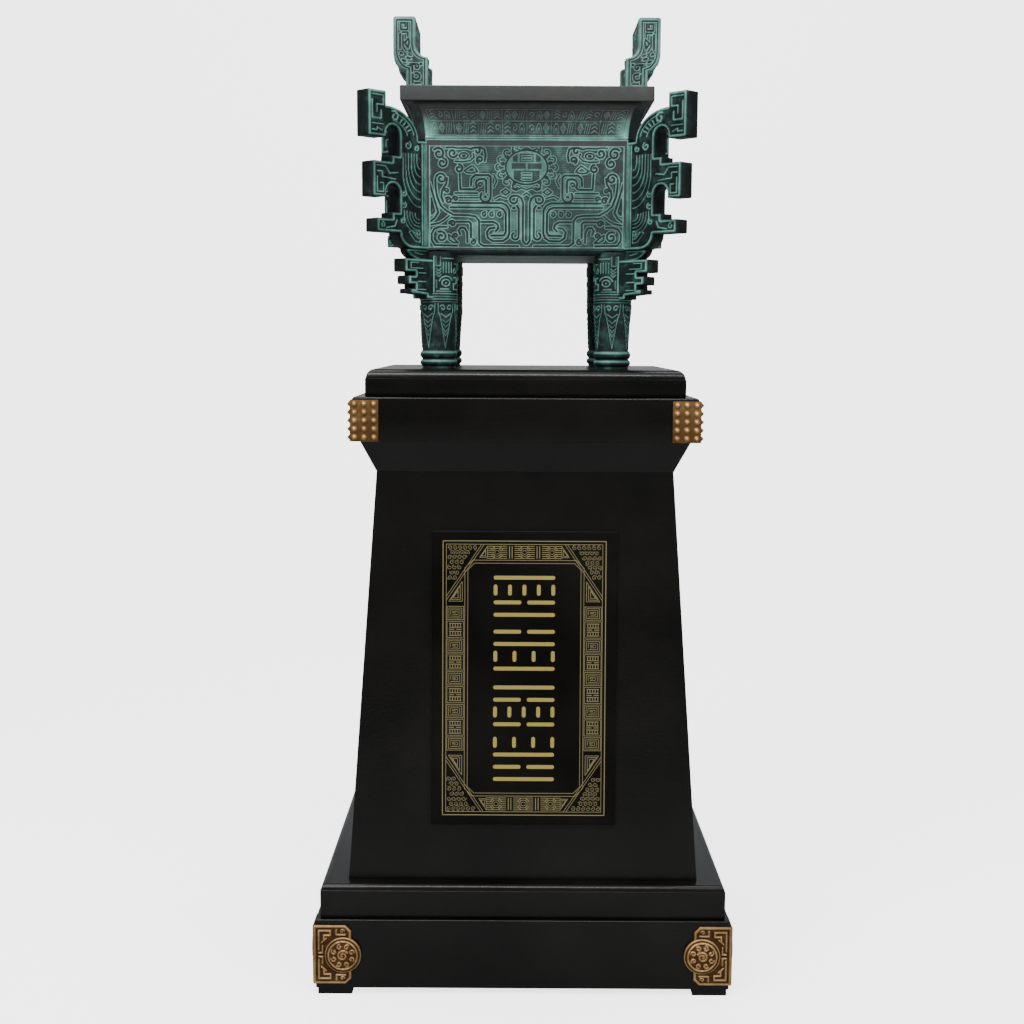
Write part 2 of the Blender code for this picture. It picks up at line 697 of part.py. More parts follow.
def carving_paths(plain):
    """The main bands of one half, the creature's body and its curls, u growing outwards."""
    body = [(0.109, 0.066)] + arc(0.036, 0.055, 0.011, 0.011, 90, 180, 2)
    body += arc(0.033, 0.025, 0.008, 0.008, 180, 270, 2) + arc(0.053, 0.025, 0.008, 0.008, 270, 430, 3)
    fret = [(0.0985, 0.111), (0.0985, 0.0905), (0.066, 0.0905)]
    hook = arc(0.079, 0.104, 0.007, 0.007, 250, 90, 3) + [(0.0535, 0.111)]
    hook += arc(0.0595, 0.079, 0.006, 0.006, 180, 330, 3)
    tail = arc(0.124, 0.104, 0.008, 0.008, 150, -20, 4) + [(0.1325, 0.085)]
    tail += arc(0.117, 0.062, 0.012, 0.012, 10, -70, 2) + [(0.100, 0.0535)]
    tail += arc(0.0785, 0.045, 0.0075, 0.0075, 90, 180, 2) + [(0.071, 0.018)]
    corner = arc(0.1265, 0.0215, 0.0140, 0.0145, 130, -120, 6)
    side_curl = [(0.0175, 0.068), (0.0175, 0.020)]
    return [body, hook, tail, corner] if plain else [body, fret, hook, tail, corner, side_curl]


def carving_curls():
    """Middle and radius of each curl, eye and jaw of one half, raised as small bosses."""
    return [
        (0.1335, 0.1410, 0.0095),
        (0.1095, 0.1425, 0.0075),
        (0.1210, 0.1245, 0.0070),
        (0.0905, 0.1400, 0.0058),
        (0.0680, 0.1340, 0.0065),
        (0.0985, 0.1235, 0.0062),
    ]


def carving_outlines(half_width, plain):
    """The raised outlines of one face; one inside another counts as a hollow, and so on inwards."""
    squeeze = half_width / CARVING_HALF_WIDTH
    outlines = []
    for side in (-1, 1):
        for path in carving_paths(plain):
            outlines.append(ribbon([(side * u * squeeze, v) for u, v in path]))
        for u, v, radius in carving_curls()[: 3 if plain else None]:
            outlines.append(arc(side * u * squeeze, v, radius * squeeze, radius, 0, 360, CURL_SIDES)[:-1])
    for i in (-1, 0, 1):
        outlines.append(ribbon([(i * RIB_PITCH, RIB_SPAN[0]), (i * RIB_PITCH, RIB_SPAN[1])], RIB_WIDTH))
    for radius in (RING_RADIUS, RING_INNER_RADIUS):
        outlines.append(arc(0.0, RING_CENTRE, radius * squeeze, radius, 0, 360, RING_SIDES)[:-1])
    block = RING_BLOCK * squeeze / 2
    outlines.append([(x, RING_CENTRE + y) for x, y, _ in rectangle(block, block, 0.0)])
    return outlines


def face_place(turn, distance, floor):
    """Maps a face's plane to the world: its middle low point, leaning out with the taper."""
    start = UNDERSIDE + UNDERSIDE_CHAMFER[1]
    lean = math.atan2(BODY_TAPER, BODY_TOP - start)
    return (
        Matrix.Rotation(math.radians(turn), 4, "Z")
        @ Matrix.Translation((0.0, BODY_TAPER - distance, floor + start))
        @ Matrix.Rotation(math.radians(90.0) + lean, 4, "X")
    )


def carve_face(bm, place, half_width, plain):
    """Redraws one wall of the body round its carving, then lifts the carved areas off it."""
    flat = place.inverted()
    wall = min(bm.faces, key=lambda face: max((abs((flat @ v.co).z) for v in face.verts)))
    corners = list(wall.verts)
    points = [(flat @ v.co).xy for v in corners]
    loops = [list(range(len(points)))]
    for outline in carving_outlines(half_width - CORNER_FACET - CARVING_MARGIN, plain):
        loops.append(list(range(len(points), len(points) + len(outline))))
        points += [Vector((u, v + CARVING_LOW)) for u, v in outline]
    spots, _, triangles, spot_from, _, inside = geometry.delaunay_2d_cdt(points, [], loops, 1, 1e-6)
    verts = []
    for spot, origin in zip(spots, spot_from):
        is_corner = bool(origin) and origin[0] < len(corners)
        verts.append(corners[origin[0]] if is_corner else bm.verts.new(place @ Vector((*spot, 0.0))))
    bm.faces.remove(wall)
    raised = []
    for triangle, loops_round in zip(triangles, inside):
        face = bm.faces.new([verts[i] for i in triangle])
        if len(loops_round) % 2 == 0:
            raised.append(face)
    lifted = bmesh.ops.extrude_face_region(bm, geom=raised)["geom"]
    outward = place.to_3x3() @ Vector((0.0, 0.0, RELIEF_RISE))
    bmesh.ops.translate(bm, vec=outward, verts=[g for g in lifted if isinstance(g, bmesh.types.BMVert)])
    bmesh.ops.delete(bm, geom=raised, context="FACES")


def ding(floor):
    """The whole casting: the hollow body with its legs, ears and flanges grown into it."""
    vessel = ding_shell(floor)
    join(vessel, ding_legs(floor))
    join(vessel, ding_ears(floor))
    join(vessel, corner_plates("body_flanges", flange_outline(), FLANGE_THICKNESS, floor))
    join(vessel, corner_plates("flange_tails", tail_outline(), TAIL_THICKNESS, floor))
    join(vessel, corner_plates("leg_flanges", leg_flange_outline(), FLANGE_THICKNESS, floor, from_leg=True))


def build():
    clear_scene()
    base_low = pedestal_feet() + GAP
    base_top = pedestal_base(base_low)
    step_top = pedestal_step(base_top + GAP)
    shaft_low = step_top + GAP
    shaft_top = pedestal_shaft(shaft_low)
    inscription_panel(shaft_low)
    frieze_top = pedestal_frieze(shaft_top + GAP)
    slab_top = pedestal_slab(frieze_top + GAP)
    for name, sx, sy in CORNERS:
        studded_fitting(name, sx, sy, frieze_top)
        bossed_fitting(name, sx, sy, base_low)
    ding(slab_top + GAP)


build()
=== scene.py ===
# %% [markdown]
# # A bronze ding on its lacquered pedestal
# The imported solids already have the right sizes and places. This lesson dresses them: each solid
# is replaced by a mesh with rounded edges, cast relief or gold lines, made around the same numbers.

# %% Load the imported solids
import math

import bmesh
import bpy
import numpy as np
from mathutils import Matrix, Vector


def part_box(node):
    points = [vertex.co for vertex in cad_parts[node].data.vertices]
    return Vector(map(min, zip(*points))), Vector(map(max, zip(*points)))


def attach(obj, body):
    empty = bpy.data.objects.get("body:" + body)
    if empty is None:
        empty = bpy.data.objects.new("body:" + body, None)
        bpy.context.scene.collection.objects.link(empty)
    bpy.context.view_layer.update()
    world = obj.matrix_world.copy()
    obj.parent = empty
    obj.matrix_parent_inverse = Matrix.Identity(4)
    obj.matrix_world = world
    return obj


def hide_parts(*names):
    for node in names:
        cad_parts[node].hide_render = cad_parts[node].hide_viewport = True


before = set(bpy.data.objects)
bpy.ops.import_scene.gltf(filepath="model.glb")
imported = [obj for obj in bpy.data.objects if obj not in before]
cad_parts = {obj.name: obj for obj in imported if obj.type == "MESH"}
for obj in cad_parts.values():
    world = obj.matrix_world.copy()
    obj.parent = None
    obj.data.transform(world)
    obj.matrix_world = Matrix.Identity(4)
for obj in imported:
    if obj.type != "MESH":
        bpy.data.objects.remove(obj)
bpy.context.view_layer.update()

# %% [markdown]
# The pedestal's sizes can be read off the solids. The ding's inner sizes can't be seen in its box,
# so its main heights are named here once, in millimetres above the soles of its legs.

# %% Sizes of the ding
MM = 0.001
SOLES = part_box("ding_vessel")[0].z
BODY_HALF = (173.2, 141.5)
BODY_TAPER = 3.75
CORNER_FACET = 18.7
UNDERSIDE = 173.6
WALL_LOW = 182.0
BODY_TOP = 347.5
NECK_TOP = 401.5
NECK_FLARE = 14.5
RIM_TOP = 424.0
RIM_OVERHANG = 18.5
RIM_WIDTH = 37.0
RIM_CORNER = 2.0
WALL = 9.0
FLOOR_THICKNESS = 10.0
INNER_FACET = 22.0
LEG_CENTRE = (135.5, 110.5)
CORNERS = {"front_left": (-1, -1), "front_right": (1, -1), "rear_left": (-1, 1), "rear_right": (1, 1)}
print("the ding stands at", round(SOLES, 4))

# %% [markdown]
# Colours are given as everyday 0 to 255 values. Shaders want linear light, so one small
# function turns them over.

# %% Colours
def srgb(red, green, blue):
    """A colour from 0 to 255 as the linear values that a shader takes."""
    shares = [value / 255 for value in (red, green, blue)]
    linear = [s / 12.92 if s <= 0.04045 else ((s + 0.055) / 1.055) ** 2.4 for s in shares]
    return (*linear, 1.0)


VERDIGRIS = srgb(118, 182, 168)
GREEN_GROUND = srgb(32, 47, 45)
WORN_BROWN = srgb(55, 53, 50)
# Dark patina of the hollows, also used as painted shade on the neck under the rim.
DARK_HOLLOW_AND_SHADE = srgb(4, 13, 12)
LACQUER_BLACK = srgb(6, 5, 3)
GOLD_LINE = srgb(156, 140, 70)
# Gilt ridges are bright gilding on raised relief and a painted highlight on stud tips; gilt hollows are dark in the
# relief and painted shade at stud feet.
GILT_RIDGE_AND_HIGHLIGHT = srgb(222, 182, 128)
GILT_HOLLOW_AND_SHADE = srgb(28, 15, 5)
print("verdigris in linear light:", [round(c, 3) for c in VERDIGRIS[:3]])

# %% [markdown]
# Several materials share effects: the mottling of old metal, the fine skin of lacquer. Each is a
# node group with named sockets, built once. A tiny builder keeps the node code short.

# %% A builder for shader node groups
def new_group(name, inputs, outputs):
    """An empty shader node group with named sockets, and its input and output nodes."""
    group = bpy.data.node_groups.new(name, "ShaderNodeTree")
    for label, kind, value in inputs:
        socket = group.interface.new_socket(label, in_out="INPUT", socket_type=kind)
        socket.default_value = value
    for label, kind in outputs:
        group.interface.new_socket(label, in_out="OUTPUT", socket_type=kind)
    return group, group.nodes.new("NodeGroupInput"), group.nodes.new("NodeGroupOutput")


def noise(tree, scale, detail=3.0, roughness=0.55):
    """A noise that reads Object coordinates, so that it stays on the piece."""
    where = tree.nodes.new("ShaderNodeTexCoord")
    made = tree.nodes.new("ShaderNodeTexNoise")
    made.inputs["Scale"].default_value = scale
    made.inputs["Detail"].default_value = detail
    made.inputs["Roughness"].default_value = roughness
    tree.links.new(where.outputs["Object"], made.inputs["Vector"])
    return made.outputs["Fac"]


def remap(tree, value, low, high, to_low=0.0, to_high=1.0):
    made = tree.nodes.new("ShaderNodeMapRange")
    made.clamp = True
    for label, number in (("From Min", low), ("From Max", high), ("To Min", to_low), ("To Max", to_high)):
        made.inputs[label].default_value = number
    tree.links.new(value, made.inputs["Value"])
    return made.outputs["Result"]


def arithmetic(tree, operation, first, second):
    made = tree.nodes.new("ShaderNodeMath")
    made.operation = operation
    for socket, value in zip(made.inputs, (first, second)):
        if isinstance(value, (int, float)):
            socket.default_value = value
        else:
            tree.links.new(value, socket)
    return made.outputs[0]


def blend_colour(tree, share, first, second):
    made = tree.nodes.new("ShaderNodeMix")
    made.data_type = "RGBA"
    tree.links.new(share, made.inputs["Factor"])
    for socket, value in ((made.inputs[6], first), (made.inputs[7], second)):
        if isinstance(value, tuple):
            socket.default_value = value
        else:
            tree.links.new(value, socket)
    return made.outputs[2]


# %% [markdown]
# Verdigris gathers on raised lines that were rubbed and waxed, and the hollows stay dark. The meshes
# below carry a colour attribute called carving: red says ridge, green says hollow and blue
# says worn flat. In a few places red also holds a painted highlight and green a painted shade. The
# group turns these three masks into one mottled patina, with that painted light.

# %% Patina group
def patina_group():
    group, given, made = new_group(
        "cast_patina",
        [
            ("Carving", "NodeSocketColor", (0.0, 0.0, 0.0, 1.0)),
            ("Ridge Colour", "NodeSocketColor", VERDIGRIS),
            ("Ground Colour", "NodeSocketColor", GREEN_GROUND),
            ("Worn Colour", "NodeSocketColor", WORN_BROWN),
            ("Hollow Colour", "NodeSocketColor", DARK_HOLLOW_AND_SHADE),
        ],
        [("Colour", "NodeSocketColor"), ("Roughness", "NodeSocketFloat"), ("Height", "NodeSocketFloat")],
    )
    masks = group.nodes.new("ShaderNodeSeparateColor")
    group.links.new(given.outputs["Carving"], masks.inputs["Color"])
    broad = noise(group, 9.0, 4.0)
    middle = noise(group, 55.0, 5.0, 0.6)
    fine = noise(group, 420.0, 3.0, 0.6)
    worn = arithmetic(group, "ADD", masks.outputs["Blue"], remap(group, broad, 0.42, 0.72, -0.25, 0.35))
    ground = blend_colour(group, remap(group, worn, 0.0, 1.0), given.outputs["Ground Colour"],
                          given.outputs["Worn Colour"])
    bare = arithmetic(group, "SUBTRACT", 1.0, masks.outputs["Blue"])
    dust = arithmetic(group, "MULTIPLY", remap(group, middle, 0.50, 0.74, 0.0, 0.26), bare)
    ground = blend_colour(group, dust, ground, given.outputs["Ridge Colour"])
    # Green pulls in the hollow colour, for dark hollows and for painted shade alike; red, below, pulls in the ridge
    # colour, for verdigris and for painted highlights alike.
    deep = arithmetic(group, "MULTIPLY", masks.outputs["Green"], remap(group, middle, 0.2, 0.7, 1.0, 0.8))
    ground = blend_colour(group, deep, ground, given.outputs["Hollow Colour"])
    rubbed = arithmetic(group, "MULTIPLY", masks.outputs["Red"], remap(group, middle, 0.25, 0.6, 0.45, 1.0))
    patch = remap(group, broad, 0.36, 0.58, 0.52, 1.0)
    colour = blend_colour(group, arithmetic(group, "MULTIPLY", rubbed, patch), ground,
                          given.outputs["Ridge Colour"])
    speck = remap(group, fine, 0.3, 0.75, 0.0, 0.22)
    colour = blend_colour(group, speck, colour, given.outputs["Hollow Colour"])
    group.links.new(colour, made.inputs["Colour"])
    group.links.new(remap(group, fine, 0.3, 0.7, 0.42, 0.62), made.inputs["Roughness"])
    group.links.new(arithmetic(group, "ADD", arithmetic(group, "MULTIPLY", middle, 0.6), fine),
                    made.inputs["Height"])
    return group


PATINA_AND_LIGHT = patina_group()
print("patina nodes:", len(PATINA_AND_LIGHT.nodes))

# %% [markdown]
# Black lacquer is never quite flat: it dries with a fine orange peel, which breaks up the light on
# the mouldings, and dust dulls it in patches.

# %% Lacquer group
def lacquer_group():
    group, given, made = new_group(
        "lacquer_skin",
        [
            ("Colour", "NodeSocketColor", LACQUER_BLACK),
            ("Peel Size", "NodeSocketFloat", 260.0),
            ("Dull", "NodeSocketFloat", 0.0),
        ],
        [("Colour", "NodeSocketColor"), ("Roughness", "NodeSocketFloat"), ("Height", "NodeSocketFloat")],
    )
    peel = noise(group, 260.0, 2.0, 0.5)
    group.links.new(given.outputs["Peel Size"], peel.node.inputs["Scale"])
    patches = noise(group, 5.0, 3.0)
    dusty = blend_colour(group, remap(group, patches, 0.4, 0.8, 0.0, 0.02), given.outputs["Colour"],
                         srgb(120, 116, 108))
    group.links.new(dusty, made.inputs["Colour"])
    rough = arithmetic(group, "ADD", remap(group, patches, 0.3, 0.7, 0.20, 0.27), given.outputs["Dull"])
    group.links.new(rough, made.inputs["Roughness"])
    group.links.new(peel, made.inputs["Height"])
    return group


LACQUER = lacquer_group()
print("lacquer nodes:", len(LACQUER.nodes))

# %% [markdown]
# Each finish is one material around a Principled BSDF. The group feeds its colour, roughness and a
# Bump node, and plain numbers stay on the shader's own sockets.

# %% Finishes
def finish(name, group, bump, distance, metallic=0.0, specular=0.5, colours=()):
    made = bpy.data.materials.new(name)
    made.use_nodes = True
    tree = made.node_tree
    shader = tree.nodes["Principled BSDF"]
    shader.inputs["Metallic"].default_value = metallic
    shader.inputs["Specular IOR Level"].default_value = specular
    node = tree.nodes.new("ShaderNodeGroup")
    node.node_tree = group
    for label, value in colours:
        node.inputs[label].default_value = value
    if "Carving" in node.inputs:
        masks = tree.nodes.new("ShaderNodeAttribute")
        masks.attribute_name = "carving"
        tree.links.new(masks.outputs["Color"], node.inputs["Carving"])
    dents = tree.nodes.new("ShaderNodeBump")
    dents.inputs["Strength"].default_value = bump
    dents.inputs["Distance"].default_value = distance
    tree.links.new(node.outputs["Height"], dents.inputs["Height"])
    tree.links.new(dents.outputs["Normal"], shader.inputs["Normal"])
    tree.links.new(node.outputs["Colour"], shader.inputs["Base Color"])
    tree.links.new(node.outputs["Roughness"], shader.inputs["Roughness"])
    return made


AGED_BRONZE = finish("aged_bronze", PATINA_AND_LIGHT, 0.35, 0.0006, metallic=0.25)
# The flanges, combs and legs take a darker bronze: partly their own darker patina, partly painted shade for pieces that
# turn away from the light.
DARK_AND_SHADED_BRONZE = finish("dark_bronze", PATINA_AND_LIGHT, 0.35, 0.0006, metallic=0.05, specular=0.18, colours=[
    ("Ridge Colour", srgb(108, 168, 155)),
    ("Ground Colour", srgb(19, 32, 31)),
    ("Worn Colour", srgb(36, 42, 40)),
    ("Hollow Colour", srgb(3, 8, 8)),
])
GILT_BRONZE = finish("cast_gilding", PATINA_AND_LIGHT, 0.25, 0.0004, metallic=0.85, colours=[
    ("Ridge Colour", GILT_RIDGE_AND_HIGHLIGHT),
    ("Ground Colour", srgb(120, 84, 44)),
    ("Worn Colour", srgb(140, 104, 60)),
    ("Hollow Colour", GILT_HOLLOW_AND_SHADE),
])
BLACK_LACQUER = finish("gloss_lacquer", LACQUER, 0.35, 0.0006, specular=0.26)
PANEL_LACQUER = finish("board_satin", LACQUER, 0.15, 0.0003, specular=0.10, colours=[("Dull", 0.08)])
GOLD_LEAF = finish("gold_leaf", LACQUER, 0.20, 0.0002, metallic=0.35, colours=[
    ("Colour", GOLD_LINE),
    ("Peel Size", 900.0),
    ("Dull", 0.15),
])
OLD_GOLD = finish("old_gold", LACQUER, 0.20, 0.0002, metallic=0.25, colours=[
    ("Colour", srgb(124, 114, 78)),
    ("Peel Size", 900.0),
    ("Dull", 0.15),
])
print("finishes:", len(bpy.data.materials))

# %% [markdown]
# Every finished mesh sits at the origin with its place in its points, rides on the one fixed body,
# and carries its finish. One function does this for all of them.


def make_piece(name, points, faces, look, replaces=(), masks=None, sharp=80.0):
    """A mesh from points in metres and faces, with its finish, its place on the body and its masks."""
    mesh = bpy.data.meshes.new(name)
    mesh.from_pydata(np.asarray(points, float).tolist(), [], faces)
    if masks is not None:
        layer = mesh.attributes.new("carving", "FLOAT_COLOR", "POINT")
        colours = np.ones((len(points), 4), np.float32)
        colours[:, :3] = masks
        layer.data.foreach_set("color", colours.ravel())
    return settle(bpy.data.objects.new(name, mesh), look, replaces, sharp)


def settle(obj, look, replaces=(), sharp=80.0):
    """Links a mesh object, gives it its finish, shades it, parents it to the body and hides the solids it replaces."""
    if obj.name not in bpy.context.scene.collection.objects:
        bpy.context.scene.collection.objects.link(obj)
    if not obj.data.materials:
        obj.data.materials.append(look)
    obj.data.shade_smooth()
    obj.data.set_sharp_from_angle(angle=math.radians(sharp))
    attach(obj, "root")
    if replaces:
        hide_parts(*replaces)
    return obj


# %% [markdown]
# ## Cast relief
# The relief on the walls, neck, flanges and legs is real geometry. A fine grid covers the face, and
# each grid point knows its distance, in millimetres, to the nearest carved band. That one number
# gives a whole cast profile: a bright rim, a dark gutter outside it and a worn flat inside. Bands
# that touch melt together, as they do in a mould.

# %% A face to carve
FAR = 60.0


def bump(value, centre, half):
    """A soft hump of height 1 about a distance, as wide as half each way."""
    return np.clip(1.0 - np.abs(value - centre) / half, 0.0, 1.0)


def ramp(value, low, high):
    share = np.clip((value - low) / (high - low), 0.0, 1.0)
    return share * share * (3.0 - 2.0 * share)


class CarvedFace:
    """A grid of points in millimetres with the distance from each to the nearest band."""

    def __init__(self, left, right, low, high, cell):
        columns = int(round((right - left) / cell)) + 1
        rows = int(round((high - low) / cell)) + 1
        self.u, self.v = np.meshgrid(np.linspace(left, right, columns), np.linspace(low, high, rows))
        self.band = np.full(self.u.shape, FAR)
        self.groove = np.full(self.u.shape, FAR)
        self.hatch = np.zeros(self.u.shape)
        self.wash = np.zeros(self.u.shape)
        self.shade = np.zeros(self.u.shape)

    def window(self, points, margin):
        """The rows and columns that lie near some points."""
        us = [p[0] for p in points]
        vs = [p[1] for p in points]
        rows = np.flatnonzero((self.v[:, 0] > min(vs) - margin) & (self.v[:, 0] < max(vs) + margin))
        columns = np.flatnonzero((self.u[0] > min(us) - margin) & (self.u[0] < max(us) + margin))
        if len(rows) == 0 or len(columns) == 0:
            return None
        return slice(rows[0], rows[-1] + 1), slice(columns[0], columns[-1] + 1)

    def lay(self, layer, path, half):
        """Lowers a layer to the distance from a round-ended band along a path."""
        for start, end in zip(path, path[1:]):
            area = self.window((start, end), half + 8.0)
            if area is None:
                continue
            u, v = self.u[area] - start[0], self.v[area] - start[1]
            du, dv = end[0] - start[0], end[1] - start[1]
            along = np.clip((u * du + v * dv) / max(du * du + dv * dv, 1e-9), 0.0, 1.0)
            distance = np.hypot(u - along * du, v - along * dv) - half
            layer[area] = np.minimum(layer[area], distance)

    def raise_band(self, path, half=1.9):
        self.lay(self.band, path, half)

    def cut_line(self, path, half=0.7):
        self.lay(self.groove, path, half)

    def raise_area(self, outline):
        """Raises a closed outline as one flat shape."""
        area = self.window(outline, 8.0)
        if area is not None:
            distance = outline_distance(self.u[area], self.v[area], outline)
            self.band[area] = np.minimum(self.band[area], distance)

    def wash_area(self, outline, strength):
        """Lays verdigris over a closed outline without raising it."""
        area = self.window(outline, 2.0)
        if area is not None:
            distance = outline_distance(self.u[area], self.v[area], outline)
            self.wash[area] = np.maximum(self.wash[area], strength * ramp(-distance, -0.8, 0.4))

    def mirror(self):
        self.band = np.minimum(self.band, self.band[:, ::-1])
        self.groove = np.minimum(self.groove, self.groove[:, ::-1])
        for layer in (self.hatch, self.wash):
            layer[:] = np.maximum(layer, layer[:, ::-1])


def outline_distance(u, v, outline):
    """Signed distance to a closed outline, below zero inside it."""
    nearest = np.full(u.shape, FAR)
    inside = np.zeros(u.shape, bool)
    for (u0, v0), (u1, v1) in zip(outline, outline[1:] + outline[:1]):
        du, dv = u1 - u0, v1 - v0
        along = np.clip(((u - u0) * du + (v - v0) * dv) / max(du * du + dv * dv, 1e-9), 0.0, 1.0)
        nearest = np.minimum(nearest, np.hypot(u - u0 - along * du, v - v0 - along * dv))
        if dv:
            crosses = ((v0 > v) != (v1 > v)) & (u < (v - v0) * du / dv + u0)
            inside ^= crosses
    return np.where(inside, -nearest, nearest)


def arc(u, v, radius, start, end, steps=8, tall=None):
    """Points on a circle or an ellipse, angles in degrees."""
    angles = np.radians(np.linspace(start, end, steps + 1))
    high = radius if tall is None else tall
    return [(u + radius * math.cos(a), v + high * math.sin(a)) for a in angles]


def scroll(u, v, radius, start, sweep, inner=0.28):
    """A spiral that winds in from its radius to a share of it."""
    steps = max(int(abs(sweep) / 24), 6)
    points = []
    for i in range(steps + 1):
        share = i / steps
        angle = math.radians(start + sweep * share)
        reach = radius * (1.0 - (1.0 - inner) * share)
        points.append((u + reach * math.cos(angle), v + reach * math.sin(angle)))
    return points


def cast(face, depth=1.0):
    """Heights in millimetres and the ridge, hollow and flat masks of a carved face."""
    band = face.band
    rim = bump(band, -0.9, 1.1)
    gutter = bump(band, 1.2, 1.3)
    line = bump(band, -2.8, 0.9)
    second = bump(band, -4.6, 1.1) * 0.8
    flat = ramp(-band, -0.4, 0.6)
    cut = ramp(-face.groove, -0.6, 0.2)
    lip = bump(face.groove, 1.2, 0.8)
    beside = 0.6 * bump(face.groove, 3.0, 1.4)
    open_ground = ramp(band, 2.0, 3.2) * ramp(face.groove, 2.6, 3.6) * face.hatch
    teeth = 0.5 + 0.5 * np.cos(face.v * 2.0 * math.pi / 3.1)
    height = 1.5 * flat + 0.8 * rim + 0.4 * second - 0.7 * gutter - 0.5 * line
    height = (height + 0.3 * open_ground * teeth + 0.6 * lip - 1.4 * cut) * depth
    ridge = np.maximum.reduce([rim, second, lip, 0.7 * face.wash * (1.0 - flat), 0.12 * open_ground * teeth])
    ridge = np.clip(ridge, 0.0, 1.0) * (1.0 - cut)
    grooves = np.maximum.reduce([gutter, 0.85 * line, cut, beside, 0.45 * open_ground * (1.0 - teeth)])
    hollow = np.clip(np.maximum(grooves, face.shade * (1.0 - ridge)), 0.0, 1.0)
    worn = np.clip(flat - rim, 0.0, 1.0) * 0.9
    return height, np.stack([ridge, hollow, worn], axis=-1)


# %% [markdown]
# A carved face becomes a closed slab: the relief in front, plain sides and a back. The place it
# goes to is a function from (across, up, out) in millimetres to the world in metres, so that the
# same code covers flat walls and the curved neck.

# %% Slabs of relief
def grid_faces(rows, columns):
    index = np.arange(rows * columns).reshape(rows, columns)
    corners = [index[:-1, :-1], index[:-1, 1:], index[1:, 1:], index[1:, :-1]]
    return np.stack(corners, axis=-1).reshape(-1, 4).tolist()


def relief_slab(name, face, place, thickness, look, depth=1.0, edge=None):
    """Turns a carved face into a closed slab on its place."""
    rows, columns = face.u.shape
    height, masks = cast(face, depth)
    if edge is not None:
        edge(face, height, masks)
    front = place(face.u, face.v, height).reshape(-1, 3)
    left = place(face.u[:, 0], face.v[:, 0], np.full(rows, -thickness))
    right = place(face.u[:, -1], face.v[:, -1], np.full(rows, -thickness))
    first_left = rows * columns
    first_right = first_left + rows
    faces = grid_faces(rows, columns)
    for row in range(rows - 1):
        low, high = row * columns, (row + 1) * columns
        a, b = first_left + row, first_right + row
        faces.append((low, high, a + 1, a))
        faces.append((low + columns - 1, b, b + 1, high + columns - 1))
        faces.append((a, a + 1, b + 1, b))
    top = (rows - 1) * columns
    faces.append([*range(columns - 1, -1, -1), first_left, first_right])
    faces.append([*range(top, top + columns), first_right + rows - 1, first_left + rows - 1])
    points = np.concatenate([front, left, right])
    colours = np.concatenate([masks.reshape(-1, 3), np.tile([0.0, 0.6, 0.2], (2 * rows, 1))])
    return make_piece(name, points, faces, look, masks=colours)


def placed(matrix):
    """A place function from a matrix whose axes are across, up and out."""
    turn = np.array(matrix.to_3x3())
    start = np.array(matrix.translation)

    def place(u, v, w):
        return np.stack(np.broadcast_arrays(u, v, w), axis=-1) * MM @ turn.T + start

    return place


def wall_place(turn, distance):
    """The plane of one leaning body wall, with its origin at the middle of its low edge."""
    lean = math.atan2(BODY_TAPER, BODY_TOP - WALL_LOW)
    return placed(
        Matrix.Rotation(math.radians(turn), 4, "Z")
        @ Matrix.Translation((0.0, (BODY_TAPER - distance) * MM, SOLES + WALL_LOW * MM))
        @ Matrix.Rotation(math.radians(90.0) + lean, 4, "X")
    )


# %% [markdown]
# ## The creature on the walls
# Each long wall shows the same creature twice, facing the middle: a curled crest, an eye, an open
# jaw, a body of square bends and hooked claws. It is drawn with sunk lines that have a bright lip on
# either side. Half of it is drawn as paths, then mirrored. Lengths are millimetres from the wall's
# middle line and low edge.

# %% Half of the creature
def creature(face, squeeze=1.0):
    """Half of the creature, its sunk lines running outwards from the middle line."""

    def s(path):
        return [(u * squeeze, v) for u, v in path]

    def cut(path, half=1.15):
        face.cut_line(s(path), half)

    face.shade[:] = 0.12
    head(cut)
    claws(cut)
    tail(cut)
    face.wash_area(s([(74.8, 18), (82.4, 18), (82.4, 40), (74.8, 42)]), 0.6)
    face.wash_area(s([(33.0, 23), (52.0, 24), (52.0, 26.5), (33.0, 27.5)]), 0.6)
    face.wash_area(s([(139.0, 64), (147.5, 92), (147.5, 86), (141.5, 60)]), 0.6)


def head(cut):
    """Curls over the back of the head, the eye, a snout that curls at its tip, and an open jaw."""
    cut(scroll(133.9, 143.4, 9.0, 40, 430))
    cut(scroll(112.6, 144.3, 7.2, 200, 400))
    cut(scroll(128.4, 129.6, 7.6, 100, 420))
    cut([(123, 152), (115, 153), (105, 151.5), (92, 152), (84, 150)], 0.8)
    cut(scroll(75.5, 147.6, 5.6, 60, 300))
    cut([(83, 151.5), (72, 153.5), (64.5, 150), (62.5, 141), (64, 132.5)])
    cut(scroll(71.2, 134.5, 5.6, -60, 400))
    cut(arc(95.9, 140.2, 6.6, 0, 360, 14, 4.4), 0.8)
    cut([(94.8, 140.2), (97.0, 140.2)], 1.5)
    cut([(109, 132), (97, 131.2), (86, 133.0), (80, 138.5), (81.5, 143.5)], 0.8)
    cut(scroll(103.3, 121.1, 6.5, 90, 400))
    cut([(95, 118), (89, 122), (83, 125.8), (78, 121.5), (75, 117), (83, 114.4), (91, 115.2), (95, 118)], 0.8)


